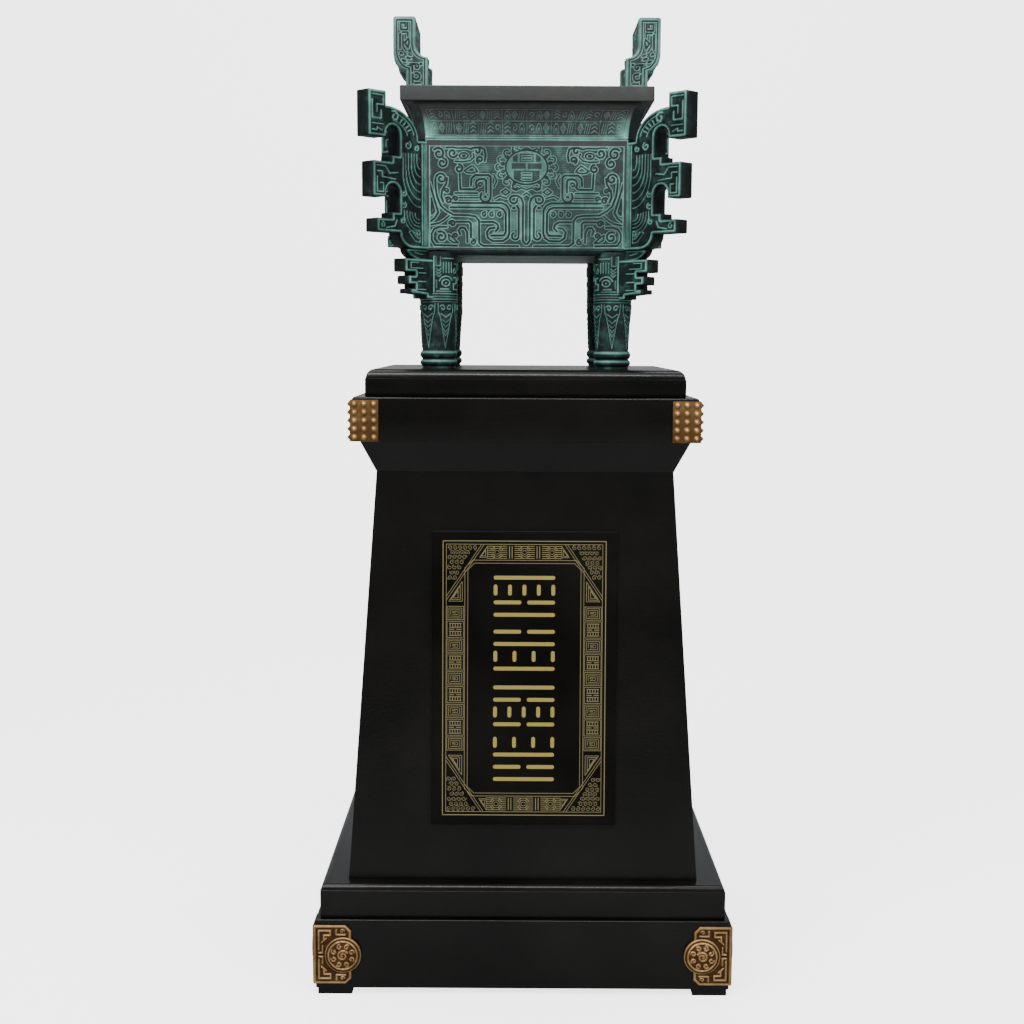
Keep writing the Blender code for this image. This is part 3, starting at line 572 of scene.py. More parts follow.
def claws(cut):
    """The square bends of the body and the hooked claws below them."""
    cut([(102, 113), (101, 90.3), (79.5, 90.3), (75.6, 93.5), (77.6, 98.5), (75.6, 104), (71, 105.8), (63.6, 105.6),
         (61.6, 103), (61.6, 86)])
    cut(scroll(70.6, 97.0, 3.8, 160, -300, 0.4), 0.9)
    cut([(84.6, 96), (84.0, 106.5), (78.5, 111.5), (58, 111.5), (54.8, 108.8), (54.8, 80)]
        + arc(62.6, 79.3, 7.8, 180, 400, 9))
    cut([(62.4, 79.2), (63.4, 79.2)], 1.6)
    cut([(109, 84.6), (74.5, 84.6)], 0.8)
    cut([(103, 77.6), (73.5, 77.6)], 0.8)
    cut(scroll(108.5, 76.0, 4.2, 0, 360), 0.9)
    cut([(113.5, 69.8), (37.5, 69.8), (30.5, 66.5), (26.2, 59.5), (26.0, 24.3), (28.6, 17.6), (35.4, 13.0),
         (51.5, 12.6), (58.8, 17.6), (60.4, 26.0), (56.4, 31.6), (48.8, 32.8)])
    cut([(116, 63.2), (41.5, 63.2), (35.2, 60.5), (31.6, 54.5), (31.4, 26.5), (34.6, 21.2), (53.4, 20.8)])
    cut([(69, 41.5), (50.0, 41.5), (44.0, 38.0), (42.6, 32.5), (46.8, 27.4)])
    for u in (40.5, 52.5, 64.0):
        cut(scroll(u, 52.6, 4.1, 110, -330), 0.9)
    cut([(121, 57.5), (111.7, 52.0), (88, 51.4), (77.6, 49.6), (72.4, 43.5), (72.0, 9.6), (66, 5.4), (12, 5.0)])
    cut([(107, 41.6), (87.2, 41.6), (84.8, 38.6), (84.8, 18.0)])
    cut(scroll(81.6, 11.2, 4.6, 90, 400), 0.9)
    cut([(90.2, 10.5), (90.6, 26), (94.6, 32.6), (100.4, 32.8), (103.6, 28.2), (101.0, 22.6)])
    cut(scroll(108.6, 20.6, 4.0, 0, 360), 0.9)
    cut([(50, 94), (45.5, 103), (50, 112)], 0.7)
    cut([(30, 77), (41, 80.5), (49, 76)], 0.7)


def tail(cut):
    """A coiled tail at the side, its leaf, and the large curl in the low corner."""
    cut(scroll(130.2, 106.3, 8.3, 20, 430))
    cut([(139, 106), (138.8, 93), (136.8, 80), (131.0, 65.5), (122, 57.5)])
    cut([(121.4, 107), (122.4, 98.5), (129.0, 89), (130.0, 79), (127.0, 71.5)])
    cut(scroll(122.0, 88.0, 4.0, 0, 360), 0.9)
    cut(scroll(119.6, 73.5, 5.2, 40, 400))
    cut([(148, 100), (140.5, 74), (134.6, 55.5), (140, 47), (148, 41)])
    cut([(145, 77), (140.6, 57), (144.6, 52.5), (145, 77)], 0.9)
    cut([(147, 36.8), (134, 39.2), (125.6, 44.2), (118, 50.5)], 0.9)
    cut(scroll(113.2, 39.0, 5.0, 0, 400))
    cut([(122.0, 33.6), (133, 33.8), (141.0, 30.6), (145.0, 23.4), (144.8, 13.4), (139.6, 6.2), (106, 5.4)])
    cut(scroll(130.4, 18.8, 8.6, 60, 440, 0.2))
    cut([(119.2, 22.0), (112, 17.6), (104.4, 10.0), (112, 10.4), (118.2, 14.6), (119.2, 22.0)], 0.8)


# %% [markdown]
# Between the two halves stands a tall blade with curled feathers beside it, and over it a round
# medal with a square block of short bars. Plain ground is filled with fine level lines.

# %% Column and medal
MEDAL_HEIGHT = 123.5


def column_and_medal(face, squeeze=1.0):
    for side in (-1, 1):

        def s(path):
            return [(side * u * squeeze, v) for u, v in path]

        def cut(path, half=1.15):
            face.cut_line(s(path), half)

        cut([(1.4, 8.5), (5.2, 13), (5.2, 70), (7.6, 77), (13.4, 80.8)] + arc(19.6, 75.2, 5.8, 90, -190, 10))
        cut([(0.0, 85.4), (5.2, 81.4)], 0.7)
        cut([(14.6, 66), (11.6, 61.5), (11.6, 21)] + arc(16.8, 20.3, 5.2, 180, 420, 9))
        cut([(18.6, 62.6), (19.8, 62.6)], 1.7)
        face.wash_area(s([(6.8, 12), (9.8, 16), (9.8, 66), (12.4, 70.5), (12.8, 76), (6.8, 68)]), 0.7)
        face.wash_area(s([(14.6, 29), (22.8, 29), (22.8, 57), (14.6, 57)]), 0.4)
        cut([(0, 90.0), (8, 93.0), (16, 89.0), (22, 91.5)], 0.7)
        cut([(25.5, 86.5), (32, 91), (38.5, 86.5), (32, 82.0), (25.5, 86.5)], 0.7)
        cut([(0, 152.4), (9, 148.6), (17, 151.6)], 0.7)
        for degrees in (-58, -35, -12, 12, 35, 58):
            angle = math.radians(degrees)
            cut(scroll(36.8 * math.cos(angle), MEDAL_HEIGHT + 27.6 * math.sin(angle), 3.0, degrees, 300 * side), 0.8)
        for degrees in (-66, -44, -22, 0, 22, 44, 66):
            angle = math.radians(degrees)
            cut(arc(42.5 * math.cos(angle), MEDAL_HEIGHT + 30.5 * math.sin(angle), 4.2, degrees - 80, degrees + 80, 5), 0.8)
    face.cut_line(arc(0, MEDAL_HEIGHT, 32.0 * squeeze, 0, 360, 40, 25.6), 0.9)
    face.wash_area(arc(0, MEDAL_HEIGHT, 29.5 * squeeze, 0, 360, 32, 23.4), 0.7)
    for low, high, spans in (
        (8.0, 20.0, ((-21, -13.5), (-11, 11), (13.5, 21))),
        (-2.6, 5.6, ((-23, -1.8), (1.8, 23))),
        (-22.0, -4.8, ((-20, 20),)),
    ):
        for left, right in spans:
            dark_block(face, left * squeeze, right * squeeze, MEDAL_HEIGHT + low, MEDAL_HEIGHT + high)
    for height in (11.4, 16.0, -9.0, -13.4, -17.8):
        face.cut_line([(-7 * squeeze, MEDAL_HEIGHT + height), (7 * squeeze, MEDAL_HEIGHT + height)], 0.3)


def dark_block(face, left, right, low, high):
    """A plain block of the medal: dark, with no verdigris on its face."""
    inside = (face.u > left) & (face.u < right) & (face.v > low) & (face.v < high)
    face.wash[inside] = 0.0
    face.shade[inside] = 0.9


WALL_HEIGHT = BODY_TOP - WALL_LOW
FIELD_TOP = 154.5
FIELD_HALF = 148.5


def wall_frame(half):
    """Borders of a wall: a lit corner line, a plain strip, the frame line and a smooth upper band."""

    def edge(face, height, masks):
        across = np.abs(face.u)
        border = (across > half - 6.5) | (face.v > FIELD_TOP) | (face.v < 3.0)
        height[border] = 0.9
        masks[border] = (0.0, 0.3, 0.85)
        for distance in (np.abs(across - (half - 6.5)), np.abs(face.v - FIELD_TOP) + 0.3, np.abs(face.v - 3.0) + 0.3):
            inner = (across <= half - 5.7) & (face.v <= FIELD_TOP + 0.8) & (face.v >= 2.2)
            line = np.clip(1.0 - distance / 1.2, 0.0, 1.0) * inner
            masks[..., 0] = np.maximum(masks[..., 0], line)
            height[:] = np.maximum(height, 0.9 + 0.5 * line)
        for distance in (half - across, WALL_HEIGHT - face.v):
            lit = np.clip(1.0 - distance / 2.8, 0.0, 1.0)
            masks[..., 0] = np.maximum(masks[..., 0], lit)
            height[:] = np.where(distance < 0.4, -0.6, height)
        shade = np.clip(1.0 - face.v / 3.0, 0.0, 1.0)
        masks[..., 1] = np.maximum(masks[..., 1], 0.55 * shade)

    return edge


def carved_wall(name, turn, distance, half, cell):
    face = CarvedFace(-half, half, 0.0, WALL_HEIGHT, cell)
    squeeze = (half - 6.0) / FIELD_HALF
    face.hatch[(np.abs(face.u) < 104 * squeeze) & (face.v > 4)] = 1.0
    creature(face, squeeze)
    face.mirror()
    column_and_medal(face, min(squeeze + 0.08, 1.0))
    return relief_slab(name, face, wall_place(turn, distance), 4.0, AGED_BRONZE, edge=wall_frame(half))


FACE_HALF = (BODY_HALF[0] - CORNER_FACET, BODY_HALF[1] - CORNER_FACET)
carved_wall("wall_front", 0.0, BODY_HALF[1], FACE_HALF[0], 0.76)
carved_wall("wall_rear", 180.0, BODY_HALF[1], FACE_HALF[0], 1.4)
carved_wall("wall_right", 90.0, BODY_HALF[0], FACE_HALF[1], 1.35)
carved_wall("wall_left", 270.0, BODY_HALF[0], FACE_HALF[1], 1.35)

# %% [markdown]
# ## The shell
# Underside, corner facets, the body behind the walls, the rim and the whole inside are one loft of
# level rings. Each ring also carries the masks of its height; on the neck and the rim's underside
# they hold painted shade under the rim.

# %% Shell of the ding
RECESS = 2.0


def level_ring(half_x, half_y, z, facet):
    points = []
    for sx, sy in ((1, 1), (-1, 1), (-1, -1), (1, -1)):
        ends = [(half_x, half_y - facet), (half_x - facet, half_y)]
        if sx * sy < 0:
            ends.reverse()
        points += [(sx * x * MM, sy * y * MM, z) for x, y in ends]
    return points


def loft(rings):
    """Points and faces of a closed skin over rings with equal numbers of points."""
    count = len(rings[0])
    faces = []
    for level in range(len(rings) - 1):
        for i in range(count):
            j = (i + 1) % count
            low, high = level * count, (level + 1) * count
            faces.append((low + i, low + j, high + j, high + i))
    faces.append(list(range(count))[::-1])
    faces.append(list(range((len(rings) - 1) * count, len(rings) * count)))
    return [p for ring in rings for p in ring], faces


def neck_point(share):
    """Outset and height of the neck's hollow curve, from the body's top to the rim."""
    angle = math.radians(90.0 * share)
    return NECK_FLARE * (1.0 - math.cos(angle)), BODY_TOP + (NECK_TOP - BODY_TOP) * math.sin(angle)


def ding_shell():
    plain, dark, brown = (0.0, 0.0, 0.3), (0.0, 0.75, 0.2), (0.0, 0.3, 0.8)
    stages = [
        (-BODY_TAPER - 14.0, UNDERSIDE, CORNER_FACET, (0.24, 0.0, 0.9)),
        (-BODY_TAPER - 13.0, UNDERSIDE + 0.1, CORNER_FACET, dark),
        (-BODY_TAPER - 0.8, WALL_LOW - 0.8, CORNER_FACET, (0.15, 0.1, 0.6)),
        (-BODY_TAPER, WALL_LOW, CORNER_FACET, (0.8, 0.0, 0.3)),
        (-BODY_TAPER - RECESS, WALL_LOW + 0.3, CORNER_FACET, plain),
        (-RECESS, BODY_TOP - 0.5, CORNER_FACET, plain),
    ]
    # Up the neck the hollow mask grows towards the rim: painted shade under the rim's overhang.
    for i in range(13):
        outset, height = neck_point(i / 12)
        facet = CORNER_FACET - 6.0 * (1.0 - math.cos(math.radians(7.5 * i)))
        stages.append((outset - 1.2, height, facet, (0.0, 0.9 * i / 12, 0.3)))
    # The rim's rounded underside starts dark and lightens as it turns outwards: painted shade under the rim.
    for i in range(5):
        angle = math.radians(-90.0 + 22.5 * i)
        stages.append((RIM_OVERHANG - 1.5 + 1.5 * math.cos(angle), NECK_TOP + 1.5 + 1.5 * math.sin(angle),
                       RIM_CORNER, (0.0, 0.35 * (1 - i / 4), 0.95)))
    for i in range(5):
        angle = math.radians(22.5 * i)
        stages.append((RIM_OVERHANG - 1.5 + 1.5 * math.cos(angle), RIM_TOP - 1.5 + 1.5 * math.sin(angle),
                       RIM_CORNER, brown))
    inner = RIM_OVERHANG - RIM_WIDTH
    stages += [
        (inner + 1.5, RIM_TOP, INNER_FACET, brown),
        (inner, RIM_TOP - 1.5, INNER_FACET, (0.3, 0.0, 0.6)),
        (inner, NECK_TOP, INNER_FACET, (0.0, 0.5, 0.5)),
        (-WALL, BODY_TOP, INNER_FACET, (0.0, 0.4, 0.3)),
        (-WALL - BODY_TAPER, UNDERSIDE + FLOOR_THICKNESS + 12.0, INNER_FACET, (0.1, 0.4, 0.2)),
        (-WALL - BODY_TAPER - 12.0, UNDERSIDE + FLOOR_THICKNESS, INNER_FACET, (0.1, 0.5, 0.2)),
    ]
    rings, masks = [], []
    for outset, height, facet, colour in stages:
        rings.append(level_ring(BODY_HALF[0] + outset, BODY_HALF[1] + outset, SOLES + height * MM, facet))
        masks += [colour] * 8
    points, faces = loft(rings)
    return make_piece("ding_shell", points, faces, AGED_BRONZE, ["ding_vessel"], np.array(masks), 32.0)


ding_shell()
print("shell made, wall", WALL, "mm")

# %% [markdown]
# ## The neck
# Two rows of small cells run round the hollow neck, divided by thin raised lines. Each cell holds a
# few short strokes. They are drawn by a fixed rule and mean nothing.

# %% Neck bands
NECK_RUN = 58.0
NECK_SPREAD = 6.0
NECK_CELL = 36.6
NECK_LINES = (3.2, 18.6, 33.5)


def neck_place(turn, distance, half):
    """Across, along the neck's curve and out, to the world; the field widens with the flare."""
    matrix = np.array(Matrix.Rotation(math.radians(turn), 3, "Z"))

    def place(u, v, w):
        angle = np.radians(90.0 * v / NECK_RUN)
        outset = NECK_FLARE * (1.0 - np.cos(angle))
        spread = NECK_SPREAD * (1.0 - np.cos(angle))
        height = BODY_TOP + (NECK_TOP - BODY_TOP) * np.sin(angle)
        tall, wide = np.sin(angle) * NECK_FLARE, np.cos(angle) * (NECK_TOP - BODY_TOP)
        length = np.hypot(tall, wide)
        out, down = wide / length, -tall / length
        across = u * (half + outset + spread) / half
        local = np.stack([across, -(distance + outset + w * out), height + w * down], axis=-1) * MM
        return local @ matrix.T + np.array([0.0, 0.0, SOLES])

    return place


def cell_marks(face, u, low, high, kind):
    """Three small figures in one cell: leaning bars, arches, chevrons, nested diamonds or a curl."""
    middle, rise, half = (low + high) / 2, (high - low) / 2 - 2.4, NECK_CELL * 0.115
    for i, side in enumerate((-1, 0, 1)):
        heart, figure = u + side * NECK_CELL * 0.29, (kind + 2 * i) % 5
        if figure == 0:
            for step in (-1, 0, 1):
                foot = heart + step * half * 0.8
                face.raise_band([(foot - 1.2, middle - rise), (foot + 1.2, middle + rise)], 0.42)
        elif figure == 1:
            face.raise_band(arc(heart, middle - rise, half, 0, 180, 6, 2 * rise), 0.42)
            face.raise_band(arc(heart, middle - rise, half * 0.4, 0, 180, 4, rise), 0.42)
        elif figure == 2:
            for level in (-0.9, -0.1, 0.7):
                face.raise_band([(heart - half, middle + level * rise), (heart, middle + (level + 0.5) * rise),
                                 (heart + half, middle + level * rise)], 0.42)
        elif figure == 3:
            for share in (1.0, 0.45):
                x, y = half * share, rise * share
                face.raise_band([(heart - x, middle), (heart, middle - y), (heart + x, middle),
                                 (heart, middle + y), (heart - x, middle)], 0.42)
        else:
            face.raise_band(scroll(heart, middle, half, 90 - side * 90, 330 if side > 0 else -330), 0.42)


def neck_edge(half):
    def edge(face, height, masks):
        # Near the rim the band lies under the overhang: its verdigris fades and the hollow mask takes over, as painted
        # shade. Higher up it is also more worn.
        upper, top = ramp(face.v, 15.0, 24.0), ramp(face.v, 37.0, 50.0)
        masks[..., 0] *= (0.8 - 0.3 * upper) * (1.0 - top)
        masks[..., 1] = np.maximum(0.8 * masks[..., 1], top)
        masks[..., 2] = 0.3 + 0.55 * upper
        foot = np.clip(1.0 - face.v / 3.2, 0.0, 1.0)
        corner = np.clip(1.3 - (half - np.abs(face.u)) / 18.0, 0.0, 1.0) * ramp(-face.v, -30.0, -2.0) * 0.9
        masks[..., 0] = np.maximum.reduce([masks[..., 0], foot, corner])
        height[face.v < 2.0] = 1.2
        height[(face.v < 0.1) | (half - np.abs(face.u) < 0.3)] = -0.8

    return edge


def neck_band(name, turn, distance, half, cell):
    face = CarvedFace(-half, half, 0.0, NECK_RUN - 3.0, cell)
    count = int((half - 8.0) * 2 / NECK_CELL)
    first = -count * NECK_CELL / 2
    for level in NECK_LINES:
        face.raise_band([(first, level), (-first, level)], 0.3)
    for i in range(count + 1):
        u = first + i * NECK_CELL
        face.raise_band([(u, NECK_LINES[0]), (u, NECK_LINES[-1])], 0.3)
        if i < count:
            cell_marks(face, u + NECK_CELL / 2, NECK_LINES[0], NECK_LINES[1], (2 * i + 1) % 5)
            cell_marks(face, u + NECK_CELL / 2, NECK_LINES[1], NECK_LINES[2], (3 * i + 2) % 5)
    return relief_slab(name, face, neck_place(turn, distance, half), 3.0, AGED_BRONZE, 0.45, neck_edge(half))


neck_band("neck_front", 0.0, BODY_HALF[1], FACE_HALF[0], 0.8)
neck_band("neck_rear", 180.0, BODY_HALF[1], FACE_HALF[0], 1.3)
neck_band("neck_right", 90.0, BODY_HALF[0], FACE_HALF[1], 1.3)
neck_band("neck_left", 270.0, BODY_HALF[0], FACE_HALF[1], 1.3)
print("neck bands: 4, cell", NECK_CELL, "mm")

# %% [markdown]
# ## Hooked flanges
# A flange is a thick plate with relief on both faces. Its outline would leave a grid with stairs
# along its edge, so the outermost points of the grid are moved onto the outline. The two faces
# share their grid, and a band of faces closes the plate between them.

# %% Plates with an outline
def carved_plate(name, outline, thickness, place, cell, design, look, replaces=()):
    """A closed plate on an outline, with the same relief on both faces."""
    us, vs = [p[0] for p in outline], [p[1] for p in outline]
    face = CarvedFace(min(us) - cell, max(us) + cell, min(vs) - cell, max(vs) + cell, cell)
    edge = outline_distance(face.u, face.v, outline)
    inside = edge < -0.35 * cell
    design(face)
    height, masks = cast(face, 0.75)
    rim, gutter = bump(edge, -2.6, 1.5), bump(edge, -5.2, 1.4)
    border = ramp(edge, -5.4, -4.4)
    height = height * (1.0 - border) + 0.9 * rim - 0.5 * gutter - 1.6 * ramp(edge, -1.2, 0.0)
    masks = masks * (1.0 - border[..., None])
    masks[..., 0] = np.maximum(masks[..., 0], rim)
    masks[..., 1] = np.maximum.reduce([masks[..., 1], gutter, 0.9 * ramp(edge, -1.6, -0.6)])
    masks[..., 2] *= 0.7
    quads = np.array(grid_faces(*face.u.shape))
    quads = quads[inside.ravel()[quads].all(axis=1)]
    sides = np.concatenate([quads[:, [i, (i + 1) % 4]] for i in range(4)])
    known = {tuple(s) for s in sides.tolist()}
    rims = [(a, b) for a, b in known if (b, a) not in known]
    slope_v, slope_u = np.gradient(edge, cell)
    flat_u, flat_v = face.u.ravel().copy(), face.v.ravel().copy()
    on_rim = np.unique([a for pair in rims for a in pair])
    for _ in range(2):
        distance = outline_distance(flat_u[on_rim], flat_v[on_rim], outline)
        steep = np.hypot(slope_u.ravel()[on_rim], slope_v.ravel()[on_rim]) + 1e-6
        flat_u[on_rim] -= distance * slope_u.ravel()[on_rim] / steep
        flat_v[on_rim] -= distance * slope_v.ravel()[on_rim] / steep
    out = height.ravel().copy()
    out[on_rim] = -1.6
    shade = masks.reshape(-1, 3)
    shade[on_rim] = (0.0, 0.85, 0.25)
    used = np.unique(quads)
    renumber = np.full(flat_u.size, -1)
    renumber[used] = np.arange(len(used))
    front = place(flat_u[used], flat_v[used], thickness / 2 + out[used])
    back = place(flat_u[used], flat_v[used], -thickness / 2 - out[used])
    faces = renumber[quads].tolist()
    faces += (renumber[quads][:, ::-1] + len(used)).tolist()
    for a, b in rims:
        i, j = int(renumber[a]), int(renumber[b])
        faces.append((j, i, i + len(used), j + len(used)))
    colours = np.concatenate([shade[used], shade[used]])
    return make_piece(name, np.concatenate([front, back]), faces, look, replaces, colours, 70.0)


def diagonal_place(corner, from_leg):
    """Maps (reach, height, across) of a corner plate to the world."""
    sx, sy = CORNERS[corner]
    facet = CORNER_FACET / 2
    x, y = LEG_CENTRE if from_leg else (BODY_HALF[0] - facet, BODY_HALF[1] - facet)
    out = Vector((sx, sy, 0.0)).normalized()
    up = Vector((0.0, 0.0, 1.0))
    matrix = Matrix((out, up, out.cross(up))).transposed().to_4x4()
    matrix.translation = (sx * x * MM, sy * y * MM, SOLES)
    return placed(matrix)


# %% [markdown]
# The outline climbs from the root through three square hooks with round notches between them, and
# returns to the body in a long curved arm. Reach is counted outwards from the corner facet.

# %% Outline and relief of a flange
PLATE_THICK, SPINE, HOOK_INNER, STEP_REACH, STEP_RISE = 28.8, 51.2, 77.5, 66.0, 9.5


def notch(top):
    middle, radius = (SPINE + HOOK_INNER) / 2, (HOOK_INNER - SPINE) / 2
    return arc(middle, top - radius, radius, 180, 0, 12)


def flange_outline():
    outline = [(-8.0, 181.5)] + arc(24.3, 204.0, 26.9, -90, 0, 8, 22.5)
    outline += [(95.5, 204.0), (95.5, 224.1), (STEP_REACH, 224.1), (STEP_REACH, 224.1 + STEP_RISE)]
    outline += [(SPINE, 224.1 + STEP_RISE)] + notch(275.5)
    outline += [(HOOK_INNER, 255.5), (103.0, 255.5), (103.0, 307.3), (STEP_REACH, 307.3)]
    outline += [(STEP_REACH, 307.3 + STEP_RISE), (SPINE, 307.3 + STEP_RISE)] + notch(360.5)
    outline += [(HOOK_INNER, 342.5), (111.5, 342.5), (111.5, 409.2), (77.0, 409.2)]
    outline += arc(77.0, 343.2, 63.0, 90, 180, 16, 45.3) + [(-8.0, 343.2)]
    return outline


def flange_relief(face):
    """Long feathers that bend to the root, nested arcs below them, curls, and frets in the hooks."""
    face.shade[:] = 0.6
    face.wash[face.u < 5.0] = 0.6
    face.raise_band([(7.6, 186.0), (7.6, 342.0)], 0.9)
    for i in range(6):
        reach, bend = 46.0 - 5.6 * i, 296.0 + 3.0 * i
        run = reach - 11.0
        face.raise_band([(reach, 322.0), (reach, bend)] + arc(11.0, bend, run, 0, -90, 7, 1.5 * run), 0.8)
    for radius in (8.0, 13.4, 18.8, 24.2, 29.6):
        face.raise_band([(12.5, 233.0 - radius)] + arc(14.0, 233.0, radius, -70, 10, 7), 0.8)
    for inset in (5.0, 11.0, 17.0):
        face.raise_band([(12.5, 212.0 - 0.9 * inset), (12.5, 186.5 + 0.9 * inset), (24.0 - 0.4 * inset, 188.0 + inset),
                         (40.0 - 1.2 * inset, 206.0), (36.0 - 1.2 * inset, 212.0 - 0.9 * inset),
                         (12.5, 212.0 - 0.9 * inset)], 0.7)
    for u, v, radius in ((36.0, 334.0, 6.4), (19.0, 331.0, 4.6), (44.0, 262.0, 4.6), (44.5, 245.0, 5.2), (47.0, 222.0, 4.6)):
        face.raise_band(scroll(u, v, radius, 120, 400), 1.1)
    face.raise_band(scroll(62.0, 373.5, 8.4, 60, 360), 1.6)
    for inset in (9.5, 22.0):
        face.raise_band(arc(77.0, 343.2, 63.0 - inset, 108, 170, 10, 45.3 - inset * 0.9), 0.9)
    for angle in (116, 126, 136, 146, 156):
        face.raise_band([arc(77.0, 343.2, 50.5, angle, angle, 1, 34.0)[0],
                         arc(77.0, 343.2, 44.5, angle, angle, 1, 27.5)[0]], 1.0)
    fret = [(105, 402), (84, 402), (84, 388), (96, 388), (96, 377)]
    face.raise_band(fret, 1.1)
    face.raise_band([(105, 394), (105, 368), (88, 368), (88, 380)], 1.1)
    face.raise_band([(105, 360), (84, 360)], 1.0)
    face.raise_band([(105, 351), (96, 351), (96, 355), (86, 351)], 1.0)
    face.raise_band([(96, 300), (80, 300), (72, 290), (56, 292)], 1.1)
    face.raise_band([(96, 292), (86, 292), (86, 284), (60, 282)], 1.0)
    face.raise_band([(96, 284), (96, 262), (84, 262), (84, 275), (90, 275)], 1.1)
    face.raise_band(scroll(86.0, 214.0, 4.8, 90, 330), 1.0)
    face.raise_band([(78, 210), (62, 213), (58, 222)], 1.0)


def tail_outline():
    return [(-20.0, 182.5), (-20.0, 163.5)] + arc(0.0, 182.5, 34.0, -90, 0, 10, 19.0)


def tail_relief(face):
    face.raise_band(arc(2.0, 182.0, 20.0, -90, -5, 8, 8.0), 0.9)


def comb_outline():
    """The upright comb on a leg: a nub below, then three square teeth."""
    outline = [(12.0, 106.5), (37.5, 106.5), (37.5, 112.0)]
    for low, high, reach in ((114.0, 121.3, 69.0), (128.0, 141.0, 73.5), (146.5, 166.5, 80.5)):
        outline += [(60.0, low), (reach, low), (reach, high), (60.0, high)]
    return outline[:-1] + [(12.0, 166.5)]


def comb_relief(face):
    face.shade[:] = 0.4
    for level in (120.0, 132.0, 145.0):
        face.raise_band([(40.0, level), (56.0, level)], 0.9)
    face.raise_band([(46.0, 152.0), (70.0, 152.0), (70.0, 160.5), (54.0, 160.5)], 0.9)


for corner in CORNERS:
    body_place, leg_place = diagonal_place(corner, False), diagonal_place(corner, True)
    cell = 1.2 if corner.startswith("front") else 1.6
    carved_plate("flange_" + corner, flange_outline(), PLATE_THICK, body_place, cell, flange_relief, DARK_AND_SHADED_BRONZE)
    carved_plate("tail_" + corner, tail_outline(), 18.0, body_place, 1.5, tail_relief, DARK_AND_SHADED_BRONZE)
    carved_plate("comb_" + corner, comb_outline(), PLATE_THICK, leg_place, cell, comb_relief, DARK_AND_SHADED_BRONZE)

# %% [markdown]
# ## Legs
# A leg is turned: two half-round rings at the foot, then a shank that swells upwards. The relief
# runs round it, so its grid is wrapped and its distances are taken a full turn to either side.

# %% Turned legs
RING_SPANS = ((4.6, 13.4), (16.0, 26.7))
LEG_TOP = UNDERSIDE + 5.0


def leg_radius(height):
    """Radius of the leg at a height above its sole."""
    for low, high in RING_SPANS:
        if low <= height <= high:
            share = (height - low) / (high - low) * 2.0 - 1.0
            return 26.2 + 2.6 * math.sqrt(max(1.0 - share * share, 0.0))
    if height < RING_SPANS[-1][1]:
        return 25.6
    return 25.5 + 4.0 * min((height - 26.7) / 81.0, 1.0)


def leg_relief(face, girth):
    """Half masks with an eye on either side of the comb, level stripes, curls and hanging blades."""
    face.shade[:] = 0.3
    for turn in (-1, 0, 1):
        shift = turn * girth
        for side in (-1, 1):
            half_mask(face, shift, side)
        for blade in range(6):
            hanging_blade(face, shift + girth * (blade + 0.18) / 6)
    for level in (102.0, 106.0, 110.0, 114.0):
        face.raise_band([(-girth, level), (2.0 * girth, level)], 0.6)


def half_mask(face, shift, side):
    """Eye, brow, ribs and stepped hooks of one half of the mask, counted from the comb."""

    def band(path, half=0.9):
        face.raise_band([(shift + side * u, v) for u, v in path], half)

    band([(17.0, 117), (17.0, 171)], 1.2)
    band([(20.5, 171), (20.5, 157), (27.5, 157), (27.5, 171)], 0.7)
    for level in (153.0, 148.5, 144.0):
        band([(20.5, level), (24.5, level - 4.0), (28.5, level)], 0.7)
    band([(30.5, 168), (50.0, 168)], 1.0)
    for rib in (32.0, 36.5, 41.0, 45.5):
        band([(rib, 162), (rib, 146)], 0.8)
    band(arc(36.0, 131.0, 6.6, 0, 360, 14, 5.0), 1.0)
    band([(35.6, 131.0), (36.4, 131.0)], 1.3)
    band(arc(36.5, 131.0, 11.5, 25, 165, 8, 10.0), 1.0)
    band([(27.0, 121.5), (41.0, 121.5)], 0.9)
    band([(21.0, 118.0), (44.0, 118.0)], 0.7)
    band([(21.0, 135), (21.0, 123)], 0.8)
    band([(50.5, 139), (57.0, 139), (57.0, 130), (50.0, 130), (50.0, 121), (61.0, 121)], 1.0)
    band(scroll(54.0, 149.0, 4.6, 90, 360), 0.9)
    band([(52.0, 160), (61.0, 160), (61.0, 150)], 0.9)
    band(scroll(65.0, 139.0, 4.4, 200, 360), 0.9)
    band([(67.0, 166), (67.0, 152), (74.0, 152)], 0.9)
    band([(66.0, 128), (78.0, 128)], 0.9)


def hanging_blade(face, u):
    """A pair of curls, with a pointed blade of zigzags hanging from it."""
    for side in (-1, 1):
        face.raise_band(scroll(u + side * 5.6, 92.5, 4.8, 90 - side * 60, side * 340), 0.9)
        face.raise_band([(u + side * 13.0, 99), (u + side * 12.4, 86), (u + side * 9.0, 78), (u, 31)], 0.7)
        face.raise_band([(u + side * 8.5, 84), (u, 78.5)], 0.7)
        for level, reach in ((75.0, 6.0), (68.0, 4.9), (61.0, 3.8), (54.5, 2.7)):
            face.raise_band([(u + side * reach, level), (u, level - 5.2)], 0.55)


